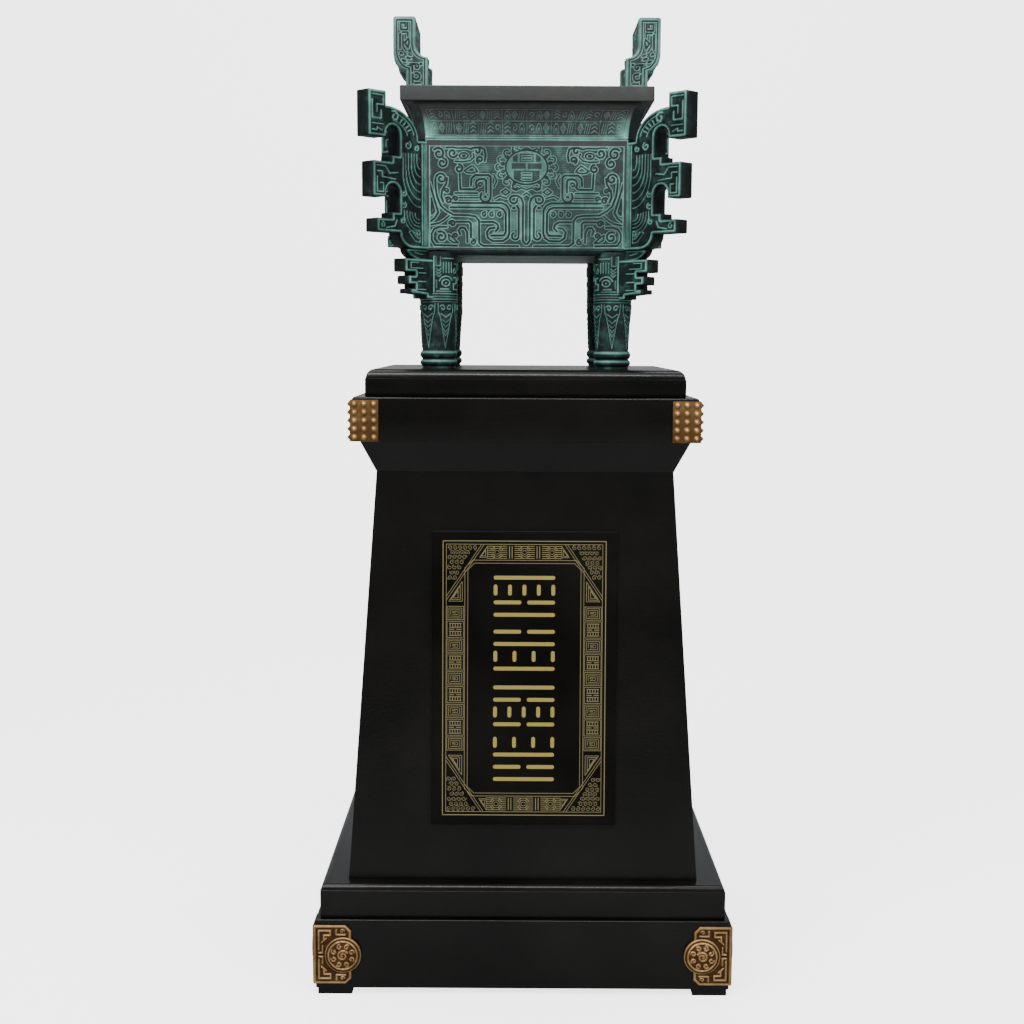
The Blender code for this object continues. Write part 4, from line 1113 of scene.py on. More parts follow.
def turned_leg(name, corner, cell):
    sx, sy = CORNERS[corner]
    girth = 2.0 * math.pi * 29.5
    face = CarvedFace(-girth / 2, girth / 2, 0.0, LEG_TOP, cell)
    leg_relief(face, girth)
    height, masks = cast(face, 0.55)
    shank = face.v > 30.0
    height *= shank
    masks *= shank[..., None]
    masks[..., 2] = 0.25
    # Each turned ring gets a painted highlight on its upper side and painted shade at its foot; the crease above the
    # top ring is painted dark as well.
    for low, high in RING_SPANS:
        masks[..., 0] = np.maximum(masks[..., 0], 0.8 * bump(face.v, high - 2.0, 2.4))
        masks[..., 1] = np.maximum(masks[..., 1], 0.9 * bump(face.v, low, 1.6))
    masks[..., 1] = np.maximum(masks[..., 1], 0.9 * bump(face.v, 28.0, 1.2))
    rows, columns = face.u.shape
    columns -= 1
    diagonal = math.atan2(sy, sx)
    radius = np.array([leg_radius(v) for v in face.v[:, 0]])[:, None] + height[:, :-1]
    angle = diagonal + face.u[:, :-1] / girth * 2.0 * math.pi
    x = sx * LEG_CENTRE[0] + radius * np.cos(angle)
    y = sy * LEG_CENTRE[1] + radius * np.sin(angle)
    points = np.stack([x * MM, y * MM, SOLES + face.v[:, :-1] * MM], axis=-1).reshape(-1, 3)
    faces = []
    for row in range(rows - 1):
        base = row * columns
        for i in range(columns):
            j = (i + 1) % columns
            faces.append((base + i, base + j, base + columns + j, base + columns + i))
    faces.append(list(range(columns))[::-1])
    faces.append(list(range((rows - 1) * columns, rows * columns)))
    return make_piece(name, points, faces, DARK_AND_SHADED_BRONZE, masks=masks[:, :-1].reshape(-1, 3))


for corner in CORNERS:
    turned_leg("leg_" + corner, corner, 1.15 if corner.startswith("front") else 1.7)
print("leg height", LEG_TOP, "mm")

# %% [markdown]
# ## Ears
# Each ear is an arch on the short side of the rim that leans outwards at half height. The arch is
# a plate too, bent afterwards, and its narrow front and rear faces get relief of their own.

# %% Ears
EAR_INNER, EAR_THICK, EAR_DEPTH, EAR_HEIGHT = 155.0, 33.5, 130.0, 120.5
EAR_LEAN = 19.5
BEND_INNER, BEND_OUTER = (58.0, 79.0), (38.0, 66.0)
EAR_SLOT, EAR_SLOT_HEIGHT, EAR_ROOT = 62.0, 80.0, 5.0


def ear_lean(height, out):
    """How far the ear stands out at a height; its inner side bends higher up than its outer side."""
    share = np.clip(out / EAR_THICK + 0.5, 0.0, 1.0)
    low = BEND_INNER[0] + (BEND_OUTER[0] - BEND_INNER[0]) * share
    high = BEND_INNER[1] + (BEND_OUTER[1] - BEND_INNER[1]) * share
    turn = np.clip((height - low) / (high - low), 0.0, 1.0)
    return EAR_LEAN * np.sqrt(1.0 - (1.0 - turn) ** 2)


def ear_place(side):
    """Depth, height above the rim and distance out from the ear's middle, to the world."""

    def place(u, v, w):
        x = side * (EAR_INNER + EAR_THICK / 2 + w + ear_lean(v, w))
        return np.stack(np.broadcast_arrays(x * MM, side * u * MM, SOLES + (RIM_TOP + v) * MM), axis=-1)

    return place


def ear_outline():
    half, slot = EAR_DEPTH / 2, EAR_SLOT / 2
    outline = [(-half, -EAR_ROOT), (-slot, -EAR_ROOT)] + arc(0.0, EAR_SLOT_HEIGHT - slot, slot, 180, 0, 20)
    outline += [(slot, -EAR_ROOT), (half, -EAR_ROOT)]
    return outline + arc(half - 5, EAR_HEIGHT - 5, 5, 0, 90, 4) + arc(-half + 5, EAR_HEIGHT - 5, 5, 90, 180, 4)


def ear_relief(face):
    for side in (-1, 1):
        for height in (14.0, 34.0, 54.0):
            face.raise_band(scroll(side * 48.0, height, 6.5, 90, side * 380), 1.2)
            face.raise_band([(side * 42.0, height + 9.0), (side * 54.0, height + 9.0)], 0.9)
        face.raise_band(scroll(side * 47.0, 92.0, 8.0, 0, side * 400), 1.4)
        face.raise_band(scroll(side * 22.0, 104.0, 6.5, 0, -side * 400), 1.3)
    face.raise_band([(-9.0, 96.0), (0.0, 108.0), (9.0, 96.0)], 1.3)


def ear_strip(name, side, front):
    """Relief on the narrow face of an ear, between its two bright borders."""
    half = EAR_THICK / 2 - 0.3
    face = CarvedFace(-half, half, 1.0, EAR_HEIGHT - 2.0, 0.7 if front < 0 else 1.0)
    inner, top = half - 4.4, EAR_HEIGHT - 7.0

    def cut(path, width=0.8):
        face.cut_line([(side * u, v) for u, v in path], width)

    face.wash[(np.abs(face.u) > inner) | (face.v > top)] = 0.75
    face.shade[:] = 0.35
    cut([(-inner, 2.0), (-inner, top), (inner, top), (inner, 2.0)], 0.7)
    cut([(-5.0, 109.0), (-5.0, 99.0), (5.5, 99.0), (5.5, 109.0), (-1.5, 109.0), (-1.5, 103.5)], 0.9)
    cut([(3.0, 95.0), (-5.5, 95.0), (-5.5, 89.0)], 0.8)
    cut([(6.5, 92.0), (6.5, 71.0)], 1.2)
    cut([(-6.5, 85.5), (-0.5, 79.0), (-5.5, 71.5), (-7.5, 79.0), (-6.5, 85.5)], 0.8)
    cut([(2.0, 90.0), (2.0, 74.0), (-2.0, 67.0)], 0.7)
    for u, v in ((-5.0, 61.0), (5.5, 63.0), (6.0, 52.0), (-6.5, 47.0), (-1.0, 56.0)):
        cut([(u, v), (u + 0.3, v)], 1.7)
    cut(scroll(0.5, 43.0, 4.6, 40, 360), 0.9)
    cut([(7.0, 44.0), (7.0, 36.0)], 0.9)
    cut(arc(0.5, 28.0, 5.0, 70, 310, 8), 1.1)
    cut([(6.6, 31.0), (6.6, 18.0)], 0.9)
    for level in (18.0, 13.0, 8.0):
        cut([(-6.0, level), (3.0, level)], 0.8)

    def place(u, v, w):
        x = side * (EAR_INNER + EAR_THICK / 2 + ear_lean(v, side * u)) + u
        y = front * (EAR_DEPTH / 2 + 0.9 + w)
        return np.stack(np.broadcast_arrays(x * MM, y * MM, SOLES + (RIM_TOP + v) * MM), axis=-1)

    obj = relief_slab(name, face, place, 2.0, AGED_BRONZE, 0.7, strip_edge)
    if front > 0:
        obj.data.flip_normals()
    return obj


def strip_edge(face, height, masks):
    half = np.abs(face.u).max()
    height[(half - np.abs(face.u) < 0.9) | (face.v < 1.5) | (face.v > EAR_HEIGHT - 3.0)] = -0.6
    masks[..., 2] = 0.2


for side, word in ((-1, "left"), (1, "right")):
    carved_plate("ear_" + word, ear_outline(), EAR_THICK, ear_place(side), 1.4, ear_relief, AGED_BRONZE)
    ear_strip("ear_front_" + word, side, -1)
    ear_strip("ear_rear_" + word, side, 1)
print("ears lean out by", EAR_LEAN, "mm")

# %% [markdown]
# ## Pedestal
# The lacquered blocks are plain, so their edges make the look. Each is a loft of level rings whose
# heights and insets follow quarter circles, fine enough for a clean line of light.

# %% Lacquered blocks
def rounded_ring(half_x, half_y, z, radius, steps=5):
    """A level rectangle with round corners."""
    points = []
    for sx, sy, start in ((1, 1, 0), (-1, 1, 90), (-1, -1, 180), (1, -1, 270)):
        for i in range(steps + 1):
            angle = math.radians(start + 90.0 * i / steps)
            points.append((sx * (half_x - radius) + radius * math.cos(angle),
                           sy * (half_y - radius) + radius * math.sin(angle), z))
    return points


def block_rings(half_x, half_y, low, high, top_round, corner=0.0016, edge=0.0012, steps=10, lip=0.0):
    """Rings of a block with a softened low edge, a small lip and a quarter-round moulding on top."""
    rings = []
    for i in range(4):
        angle = math.radians(30.0 * i)
        inset = edge * (1.0 - math.sin(angle))
        rings.append(rounded_ring(half_x - inset, half_y - inset, low + edge * (1.0 - math.cos(angle)), corner))
    if lip:
        rings.append(rounded_ring(half_x, half_y, high - top_round - 0.0003, corner))
        rings.append(rounded_ring(half_x - 0.0003, half_y - 0.0003, high - top_round, corner))
    for i in range(steps + 1):
        angle = math.radians(90.0 * i / steps)
        inset = lip + (top_round - lip) * (1.0 - math.cos(angle))
        rings.append(rounded_ring(half_x - inset, half_y - inset, high - top_round * (1.0 - math.sin(angle)), corner))
    return rings


def lacquered(name, rings, look=None):
    points, faces = loft(rings)
    return make_piece(name + "_lacquer", points, faces, look or BLACK_LACQUER, [name], sharp=35.0)


def half_size(node):
    low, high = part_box(node)
    return (high.x - low.x) / 2, (high.y - low.y) / 2, low.z, high.z


STEP_ROUND, SLAB_ROUND, FRIEZE_ROUND, BASE_ROUND, LIP = 0.0085, 0.014, 0.003, 0.0022, 0.0011
lacquered("pedestal_base_block", block_rings(*half_size("pedestal_base_block"), BASE_ROUND))
lacquered("pedestal_step", block_rings(*half_size("pedestal_step"), STEP_ROUND, lip=LIP))
lacquered("pedestal_top_slab", block_rings(*half_size("pedestal_top_slab"), SLAB_ROUND, lip=LIP))

# %% [markdown]
# The shaft tapers evenly. The frieze starts with a flare as narrow as the shaft's head and carries
# its own plain block, so it is one loft with a sharp change in the middle.

# %% Shaft, frieze and feet
SHAFT_BATTER, FLARE_HEIGHT, FLARE_OUTSET, FRIEZE_LIP, SOFT = 0.0425, 0.0475, 0.023, 0.010, 0.0010


def shaft():
    half_x, half_y, low, high = half_size("pedestal_shaft")
    rings = []
    for share in np.linspace(0.0, 1.0, 12):
        inset = SHAFT_BATTER * share
        rings.append(rounded_ring(half_x - inset, half_y - inset, low + (high - low) * share, 0.0014))
    return lacquered("pedestal_shaft", rings)


def frieze():
    half_x, half_y, low, high = half_size("pedestal_frieze")
    block = low + FLARE_HEIGHT
    rings = []
    for share in (0.0, 0.5, 1.0):
        inset = FRIEZE_LIP + FLARE_OUTSET * (1.0 - share)
        rings.append(rounded_ring(half_x - inset, half_y - inset, low + FLARE_HEIGHT * share, 0.0014))
    return lacquered("pedestal_frieze", rings + block_rings(half_x, half_y, block, high, FRIEZE_ROUND))


def foot(node):
    low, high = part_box(node)
    centre = (low + high) / 2
    rings = block_rings(*half_size(node), 0.0008, 0.001, 0.0008, 3)
    moved = [[(x + centre.x, y + centre.y, z) for x, y, z in ring] for ring in rings]
    return lacquered(node, moved)


shaft()
frieze()
for corner in CORNERS:
    foot("foot_" + corner)

# %% [markdown]
# ## Gilt fittings
# The upper plates are set with pointed studs in three columns and five rows. They repeat on a
# grid, so Geometry Nodes place them: a grid of points, one turned stud on each, realised into
# plain faces. The tree's sizes are named inputs.

# %% A Geometry Nodes tree for studs
def node_tree(name, inputs):
    tree = bpy.data.node_groups.new(name, "GeometryNodeTree")
    tree.interface.new_socket("Geometry", in_out="INPUT", socket_type="NodeSocketGeometry")
    for label, kind, value in inputs:
        socket = tree.interface.new_socket(label, in_out="INPUT", socket_type=kind)
        if value is not None:
            socket.default_value = value
    tree.interface.new_socket("Geometry", in_out="OUTPUT", socket_type="NodeSocketGeometry")
    return tree, tree.nodes.new("NodeGroupInput"), tree.nodes.new("NodeGroupOutput")


def stud_tree():
    tree, given, made = node_tree("stud_rows", [
        ("Columns", "NodeSocketInt", 3),
        ("Rows", "NodeSocketInt", 5),
        ("Width", "NodeSocketFloat", 0.03),
        ("Height", "NodeSocketFloat", 0.05),
        ("Stud Radius", "NodeSocketFloat", 0.005),
        ("Stud Rise", "NodeSocketFloat", 0.005),
        ("Finish", "NodeSocketMaterial", None),
    ])
    grid = tree.nodes.new("GeometryNodeMeshGrid")
    cone = tree.nodes.new("GeometryNodeMeshCone")
    cone.inputs["Vertices"].default_value = 12
    cone.inputs["Side Segments"].default_value = 2
    cone.inputs["Radius Top"].default_value = 0.0007
    place = tree.nodes.new("GeometryNodeInstanceOnPoints")
    real = tree.nodes.new("GeometryNodeRealizeInstances")
    paint = tree.nodes.new("GeometryNodeSetMaterial")
    for label, node, socket in (
        ("Columns", grid, "Vertices X"), ("Rows", grid, "Vertices Y"),
        ("Width", grid, "Size X"), ("Height", grid, "Size Y"),
        ("Stud Radius", cone, "Radius Bottom"), ("Stud Rise", cone, "Depth"), ("Finish", paint, "Material"),
    ):
        tree.links.new(given.outputs[label], node.inputs[socket])
    tree.links.new(grid.outputs["Mesh"], place.inputs["Points"])
    tree.links.new(cone.outputs["Mesh"], place.inputs["Instance"])
    tree.links.new(place.outputs["Instances"], real.inputs["Geometry"])
    tree.links.new(real.outputs["Geometry"], paint.inputs["Geometry"])
    tree.links.new(paint.outputs["Geometry"], made.inputs["Geometry"])
    return tree


def run_tree(name, tree, values):
    """Runs a tree on an empty mesh and returns its result as a plain mesh."""
    holder = bpy.data.objects.new(name + "_source", bpy.data.meshes.new(name + "_source"))
    bpy.context.scene.collection.objects.link(holder)
    modifier = holder.modifiers.new("made", "NODES")
    modifier.node_group = tree
    for item in tree.interface.items_tree:
        if item.item_type == "SOCKET" and item.in_out == "INPUT" and item.name in values:
            modifier[item.identifier] = values[item.name]
    graph = bpy.context.evaluated_depsgraph_get()
    mesh = bpy.data.meshes.new_from_object(holder.evaluated_get(graph))
    bpy.data.objects.remove(holder)
    mesh.name = name
    return mesh


STUDS = stud_tree()
print("stud tree nodes:", len(STUDS.nodes))

# %% [markdown]
# A stud gets painted shade at its foot and a painted highlight at its tip, so the masks follow its height.
# The plate behind the studs is an angle round the corner of the block, with softened edges.

# %% Studded plates
PLATE = 0.0032
GAP = 0.0003
STUD_RISE = 0.0046


def paint_light_by_height(mesh, low, high):
    """Painted shade at the foot running to a painted highlight at the tip, as masks along Z before the mesh is placed.
    """
    layer = mesh.attributes.new("carving", "FLOAT_COLOR", "POINT")
    for vert, item in zip(mesh.vertices, layer.data):
        share = min(max((vert.co.z - low) / (high - low), 0.0), 1.0)
        item.color = (0.1 + 0.7 * share, 0.9 * (1.0 - share) ** 2, 0.3, 1.0)


def corner_faces(sx, sy, half_x, half_y, middle):
    """Two frames (across, up, out), one on each outer face of a corner, origin at the corner edge."""
    up = Vector((0.0, 0.0, 1.0))
    for out, along in ((Vector((0, sy, 0)), Vector((-sx, 0, 0))), (Vector((sx, 0, 0)), Vector((0, -sy, 0)))):
        matrix = Matrix((along, up, out)).transposed().to_4x4()
        matrix.translation = (sx * half_x, sy * half_y, middle)
        yield matrix


def oriented(mesh, matrix):
    """Moves a mesh to its place, turning its faces back where the frame is a mirrored one."""
    mesh.transform(matrix)
    if matrix.determinant() < 0.0:
        mesh.flip_normals()
    return mesh


def studded_plate(corner):
    node = "studded_corner_" + corner
    sx, sy = CORNERS[corner]
    low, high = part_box(node)
    block_x, block_y = half_size("pedestal_frieze")[:2]
    face_x, face_y = block_x + GAP + PLATE, block_y + GAP + PLATE
    arm = face_x - min(abs(low.x), abs(high.x))
    middle, tall = (low.z + high.z) / 2, high.z - low.z
    outer = []
    for index, matrix in enumerate(corner_faces(sx, sy, face_x, face_y, middle)):
        values = {"Columns": 3, "Rows": 5, "Width": arm * 0.68, "Height": tall * 0.80,
                  "Stud Radius": 0.0054, "Stud Rise": STUD_RISE, "Finish": GILT_BRONZE}
        mesh = run_tree(f"studs_{corner}_{index}", STUDS, values)
        paint_light_by_height(mesh, 0.0, STUD_RISE)
        mesh.transform(Matrix.Translation((arm / 2, 0.0, -0.0003)))
        outer.append(settle(bpy.data.objects.new(mesh.name, oriented(mesh, matrix)), GILT_BRONZE, sharp=50.0))
    return plate_angle(node, sx, sy, face_x, face_y, arm, low.z, high.z), outer


def plate_angle(node, sx, sy, face_x, face_y, arm, low, high):
    """The angle plate itself, an L seen from above, with softened edges."""
    plan = [(face_x, face_y), (face_x - arm, face_y), (face_x - arm, face_y - PLATE),
            (face_x - PLATE, face_y - PLATE), (face_x - PLATE, face_y - arm), (face_x, face_y - arm)]
    mesh = bmesh.new()
    rings = [[mesh.verts.new((sx * x, sy * y, z)) for x, y in plan] for z in (low, high)]
    for i in range(6):
        j = (i + 1) % 6
        mesh.faces.new((rings[0][i], rings[0][j], rings[1][j], rings[1][i]))
    mesh.faces.new(rings[0])
    mesh.faces.new(rings[1])
    bmesh.ops.recalc_face_normals(mesh, faces=mesh.faces)
    bmesh.ops.bevel(mesh, geom=mesh.edges[:], offset=0.0006, segments=2, profile=0.5, affect="EDGES")
    data = bpy.data.meshes.new(node + "_plate")
    mesh.to_mesh(data)
    mesh.free()
    layer = data.attributes.new("carving", "FLOAT_COLOR", "POINT")
    layer.data.foreach_set("color", np.tile([0.0, 0.35, 0.3, 1.0], len(data.vertices)).astype(np.float32))
    return settle(bpy.data.objects.new(node + "_plate", data), GILT_BRONZE, [node], 30.0)


for corner in CORNERS:
    studded_plate(corner)
print("studs on each corner:", 2 * 3 * 5)

# %% [markdown]
# The lower plates carry a fret in relief inside a raised border, and a round boss with a curled
# flower. Plates and bosses are small carved plates of the same kind as the flanges.

# %% Bossed plates
BOSS_ARM, BOSS_TALL, BOSS_CHAMFER, BOSS_FROM_CORNER, BOSS_RADIUS = 59.0, 94.0, 9.0, 46.0, 28.0


def boss_plate_outline():
    high, arm, cut = BOSS_TALL / 2, BOSS_ARM, BOSS_CHAMFER
    return [(0.0, -high), (arm - cut, -high), (arm, -high + cut), (arm, high - cut), (arm - cut, high), (0.0, high)]


def boss_plate_relief(face):
    face.shade[:] = 0.7
    for side in (-1, 1):
        face.raise_band([(9.0, side * 8.0), (9.0, side * 38.0), (27.0, side * 38.0), (27.0, side * 31.0),
                         (17.0, side * 31.0), (17.0, side * 24.0)], 1.3)
        face.raise_band([(36.0, side * 40.0), (36.0, side * 32.0), (50.0, side * 32.0)], 1.3)
        face.raise_band(scroll(45.0, side * 37.5, 3.6, 0, 300), 1.0)
        face.raise_band([(9.0, side * 3.0), (15.0, side * 3.0), (15.0, side * 14.0)], 1.2)
        face.raise_band([(20.5, side * 26.0), (13.0, side * 19.0)], 1.1)


def boss_relief(face):
    """A ring of petals round a curled heart."""
    face.shade[:] = 0.55
    face.raise_band(arc(0.0, 0.0, 22.0, 0, 360, 32), 1.2)
    for i in range(8):
        angle = math.radians(45.0 * i + 20.0)
        face.raise_band(scroll(14.5 * math.cos(angle), 14.5 * math.sin(angle), 4.4, 45 * i, 330), 1.1)
    face.raise_band(scroll(0.0, 0.0, 8.5, 30, 560, 0.2), 1.5)


def bossed_plate(corner):
    node = "bossed_corner_" + corner
    sx, sy = CORNERS[corner]
    half_x, half_y, low, high = half_size("pedestal_base_block")
    face_x, face_y = half_x + GAP + PLATE, half_y + GAP + PLATE
    stood_for = [node]
    for index, matrix in enumerate(corner_faces(sx, sy, face_x, face_y, (low + high) / 2)):
        mirrored = matrix.determinant() < 0.0
        flat = placed(matrix @ Matrix.Translation((0.0, 0.0, -PLATE / 2)))
        cell = 1.1 if corner.startswith("front") and index == 0 else 1.5
        plate = carved_plate(f"bossed_plate_{corner}_{index}", boss_plate_outline(), PLATE / MM, flat, cell,
                             boss_plate_relief, GILT_BRONZE, stood_for)
        stood_for = []
        centre = matrix @ Matrix.Translation((BOSS_FROM_CORNER * MM, 0.0, 0.0))
        boss = domed_boss(f"boss_{corner}_{index}", placed(centre))
        if mirrored:
            plate.data.flip_normals()
            boss.data.flip_normals()


def domed_boss(name, place):
    """A round boss: a rim, then a low dome with relief, closed at its flat back."""
    rings, around = 26, 84
    face = CarvedFace(-BOSS_RADIUS, BOSS_RADIUS, -BOSS_RADIUS, BOSS_RADIUS, 0.8)
    boss_relief(face)
    height, masks = cast(face, 0.7)
    reach = np.linspace(0.6, BOSS_RADIUS, rings)[::-1]
    angle = np.arange(around) * 2.0 * math.pi / around
    u, v = reach[:, None] * np.cos(angle), reach[:, None] * np.sin(angle)
    column = np.clip(np.round((u + BOSS_RADIUS) / (2 * BOSS_RADIUS) * (face.u.shape[1] - 1)).astype(int), 0, None)
    row = np.clip(np.round((v + BOSS_RADIUS) / (2 * BOSS_RADIUS) * (face.u.shape[0] - 1)).astype(int), 0, None)
    share = (reach / BOSS_RADIUS)[:, None]
    dome = 1.2 + 3.0 * np.sqrt(np.clip(1.0 - share**2, 0.0, 1.0))
    w = dome + height[row, column] * (share < 0.9)
    shade = masks[row, column]
    shade[0] = shade[1] = (0.6, 0.0, 0.3)
    shade[3] = (0.0, 0.9, 0.0)
    back = place(u[0], v[0], np.full(around, -3.2))
    points = np.concatenate([back, place(u, v, w).reshape(-1, 3)])
    faces = []
    for level in range(rings):
        for i in range(around):
            j = (i + 1) % around
            faces.append((level * around + i, level * around + j, (level + 1) * around + j, (level + 1) * around + i))
    faces.append(list(range(around))[::-1])
    faces.append(list(range(rings * around, (rings + 1) * around)))
    colours = np.concatenate([np.tile([0.0, 0.8, 0.0], (around, 1)), shade.reshape(-1, 3)])
    return make_piece(name, points, faces, GILT_BRONZE, masks=colours, sharp=60.0)


for corner in CORNERS:
    bossed_plate(corner)

# %% [markdown]
# ## The leaning board
# A thin board with soft edges lies on the front of the shaft. Everything gold on it is a thin flat
# inlay that stands a hair proud. Places are millimetres from the board's middle.

# %% Board
SHAFT_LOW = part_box("pedestal_shaft")[0]
BOARD_RISE, BOARD_HALF_WIDTH, BOARD_HALF_HEIGHT, BOARD_THICK = 0.087, 142.25, 227.0, 6.0
LEAN = math.atan2(SHAFT_BATTER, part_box("pedestal_shaft")[1].z - SHAFT_LOW.z)
BOARD = (
    Matrix.Translation((0.0, SHAFT_LOW.y, SHAFT_LOW.z))
    @ Matrix.Rotation(math.radians(90.0) - LEAN, 4, "X")
    @ Matrix.Translation((0.0, BOARD_RISE + BOARD_HALF_HEIGHT * MM, GAP))
)


def board():
    rings = []
    for inset, out in ((0.8, 0.0), (0.2, 0.3), (0.0, 1.0), (0.0, 4.4), (0.25, 5.2), (0.8, 5.8), (1.6, 6.0)):
        rings.append(rounded_ring((BOARD_HALF_WIDTH - inset) * MM, (BOARD_HALF_HEIGHT - inset) * MM, out * MM, 0.001, 3))
    points, faces = loft(rings)
    points = [BOARD @ Vector(p) for p in points]
    return make_piece("board", points, faces, PANEL_LACQUER, ["inscription_panel"], sharp=35.0)


board()
print("board:", 2 * BOARD_HALF_WIDTH, "by", 2 * BOARD_HALF_HEIGHT, "mm, leaning", round(math.degrees(LEAN), 2))

# %% [markdown]
# Gold lines are short straight bars of an even width. A line is a list of points; each stretch of
# it becomes one slim bar, a little longer than the stretch so that corners close.

# %% Gold lines
INLAY_RISE = 0.35


def inlay(name, lines):
    """One mesh of thin flat bars along many lines, each (points, width)."""
    points, faces = [], []
    for path, width in lines:
        for start, end in zip(path, path[1:]):
            along = Vector((end[0] - start[0], end[1] - start[1]))
            if along.length < 1e-6:
                continue
            along.normalize()
            reach, across = along * width / 2, Vector((-along.y, along.x)) * width / 2
            ends = (Vector(start) - reach, Vector(end) + reach)
            corners = (ends[0] - across, ends[1] - across, ends[1] + across, ends[0] + across)
            first = len(points)
            for out in (BOARD_THICK - 0.3, BOARD_THICK + INLAY_RISE):
                points += [BOARD @ Vector((c.x * MM, c.y * MM, out * MM)) for c in corners]
            faces += [(first + 3, first + 2, first + 1, first), (first + 4, first + 5, first + 6, first + 7)]
            for i in range(4):
                j = (i + 1) % 4
                faces.append((first + i, first + j, first + 4 + j, first + 4 + i))
    return make_piece(name, points, faces, OLD_GOLD, sharp=30.0)


def closed(points):
    return points + points[:1]


FRAME_HALF = (124.5, 211.5)
INNER_HALF = (86.5, 177.5)
CORNER_CUT = 24.0
THIN, FINE = 1.3, 0.8


def frame_lines():
    """The outer rectangle, the inner double line with cut corners, and the cut-off corner triangles."""
    x, y = FRAME_HALF
    lines = [(closed([(-x, -y), (x, -y), (x, y), (-x, y)]), THIN)]
    lines.append((closed([(-x + 5, -y + 5), (x - 5, -y + 5), (x - 5, y - 5), (-x + 5, y - 5)]), FINE))
    for grow, cut in ((0.0, 10.0), (4.6, 12.0)):
        x, y = INNER_HALF[0] + grow, INNER_HALF[1] + grow
        lines.append((closed([(-x + cut, -y), (x - cut, -y), (x, -y + cut), (x, y - cut), (x - cut, y),
                              (-x + cut, y), (-x, y - cut), (-x, -y + cut)]), FINE))
    for sx in (-1, 1):
        for sy in (-1, 1):
            x, y = FRAME_HALF[0] - 5, FRAME_HALF[1] - 5
            lines.append(([(sx * (x - 54), sy * y), (sx * x, sy * (y - 80))], FINE))
            lines.append(([(sx * (x - 58), sy * y), (sx * x, sy * (y - 86))], FINE))
            for inset in (0.0, 3.2, 6.4):
                u, v, run = x - 24.5 + inset, y - 87.5 + 0.8 * inset, 20.5 - 2.0 * inset
                lines.append((closed([(sx * u, sy * v), (sx * (u + run), sy * v), (sx * u, sy * (v + 1.48 * run))]), FINE))
            for inset in (0.0, 2.6):
                u, v, run = x - 62.5 + inset, y - 20.0 + 0.8 * inset, 11.5 - 2.0 * inset
                lines.append((closed([(sx * u, sy * v), (sx * (u + run), sy * v), (sx * u, sy * (v + 1.48 * run))]), FINE))
    return lines


inlay("gold_frame", frame_lines())
print("frame lines:", len(frame_lines()))

# %% [markdown]
# Down each side, squares with a square key alternate with small plain blocks of bars. These repeat
# at an even pitch, so one key is drawn once and Geometry Nodes set it along a line of points.

# %% A Geometry Nodes tree for a row of keys
def key_tree():
    tree, given, made = node_tree("row_of_keys", [
        ("Count", "NodeSocketInt", 5),
        ("Pitch", "NodeSocketFloat", 0.05),
        ("Key", "NodeSocketObject", None),
        ("Finish", "NodeSocketMaterial", None),
    ])
    line = tree.nodes.new("GeometryNodeMeshLine")
    line.mode = "OFFSET"
    step = tree.nodes.new("ShaderNodeCombineXYZ")
    key = tree.nodes.new("GeometryNodeObjectInfo")
    place = tree.nodes.new("GeometryNodeInstanceOnPoints")
    real = tree.nodes.new("GeometryNodeRealizeInstances")
    paint = tree.nodes.new("GeometryNodeSetMaterial")
    links = [
        (given.outputs["Count"], line.inputs["Count"]), (given.outputs["Pitch"], step.inputs["Y"]),
        (step.outputs["Vector"], line.inputs["Offset"]), (given.outputs["Key"], key.inputs["Object"]),
        (line.outputs["Mesh"], place.inputs["Points"]), (key.outputs["Geometry"], place.inputs["Instance"]),
        (place.outputs["Instances"], real.inputs["Geometry"]), (real.outputs["Geometry"], paint.inputs["Geometry"]),
        (given.outputs["Finish"], paint.inputs["Material"]), (paint.outputs["Geometry"], made.inputs["Geometry"]),
    ]
    for start, end in links:
        tree.links.new(start, end)
    return tree


KEYS = key_tree()


def flat_bars(lines):
    """A mesh of thin bars lying in the XY plane, in metres, for a tree to repeat."""
    points, faces = [], []
    for path, width in lines:
        for start, end in zip(path, path[1:]):
            along = Vector((end[0] - start[0], end[1] - start[1])).normalized()
            reach, across = along * width / 2, Vector((-along.y, along.x)) * width / 2
            a, b = Vector(start) - reach, Vector(end) + reach
            first = len(points)
            for z in (-0.3, INLAY_RISE):
                points += [(c.x * MM, c.y * MM, z * MM) for c in (a - across, b - across, b + across, a + across)]
            faces += [(first + 3, first + 2, first + 1, first), (first + 4, first + 5, first + 6, first + 7)]
            for i in range(4):
                j = (i + 1) % 4
                faces.append((first + i, first + j, first + 4 + j, first + 4 + i))
    mesh = bpy.data.meshes.new("bars")
    mesh.from_pydata(points, [], faces)
    return mesh


def oblong(x, y):
    return closed([(-x, -y), (x, -y), (x, y), (-x, y)])


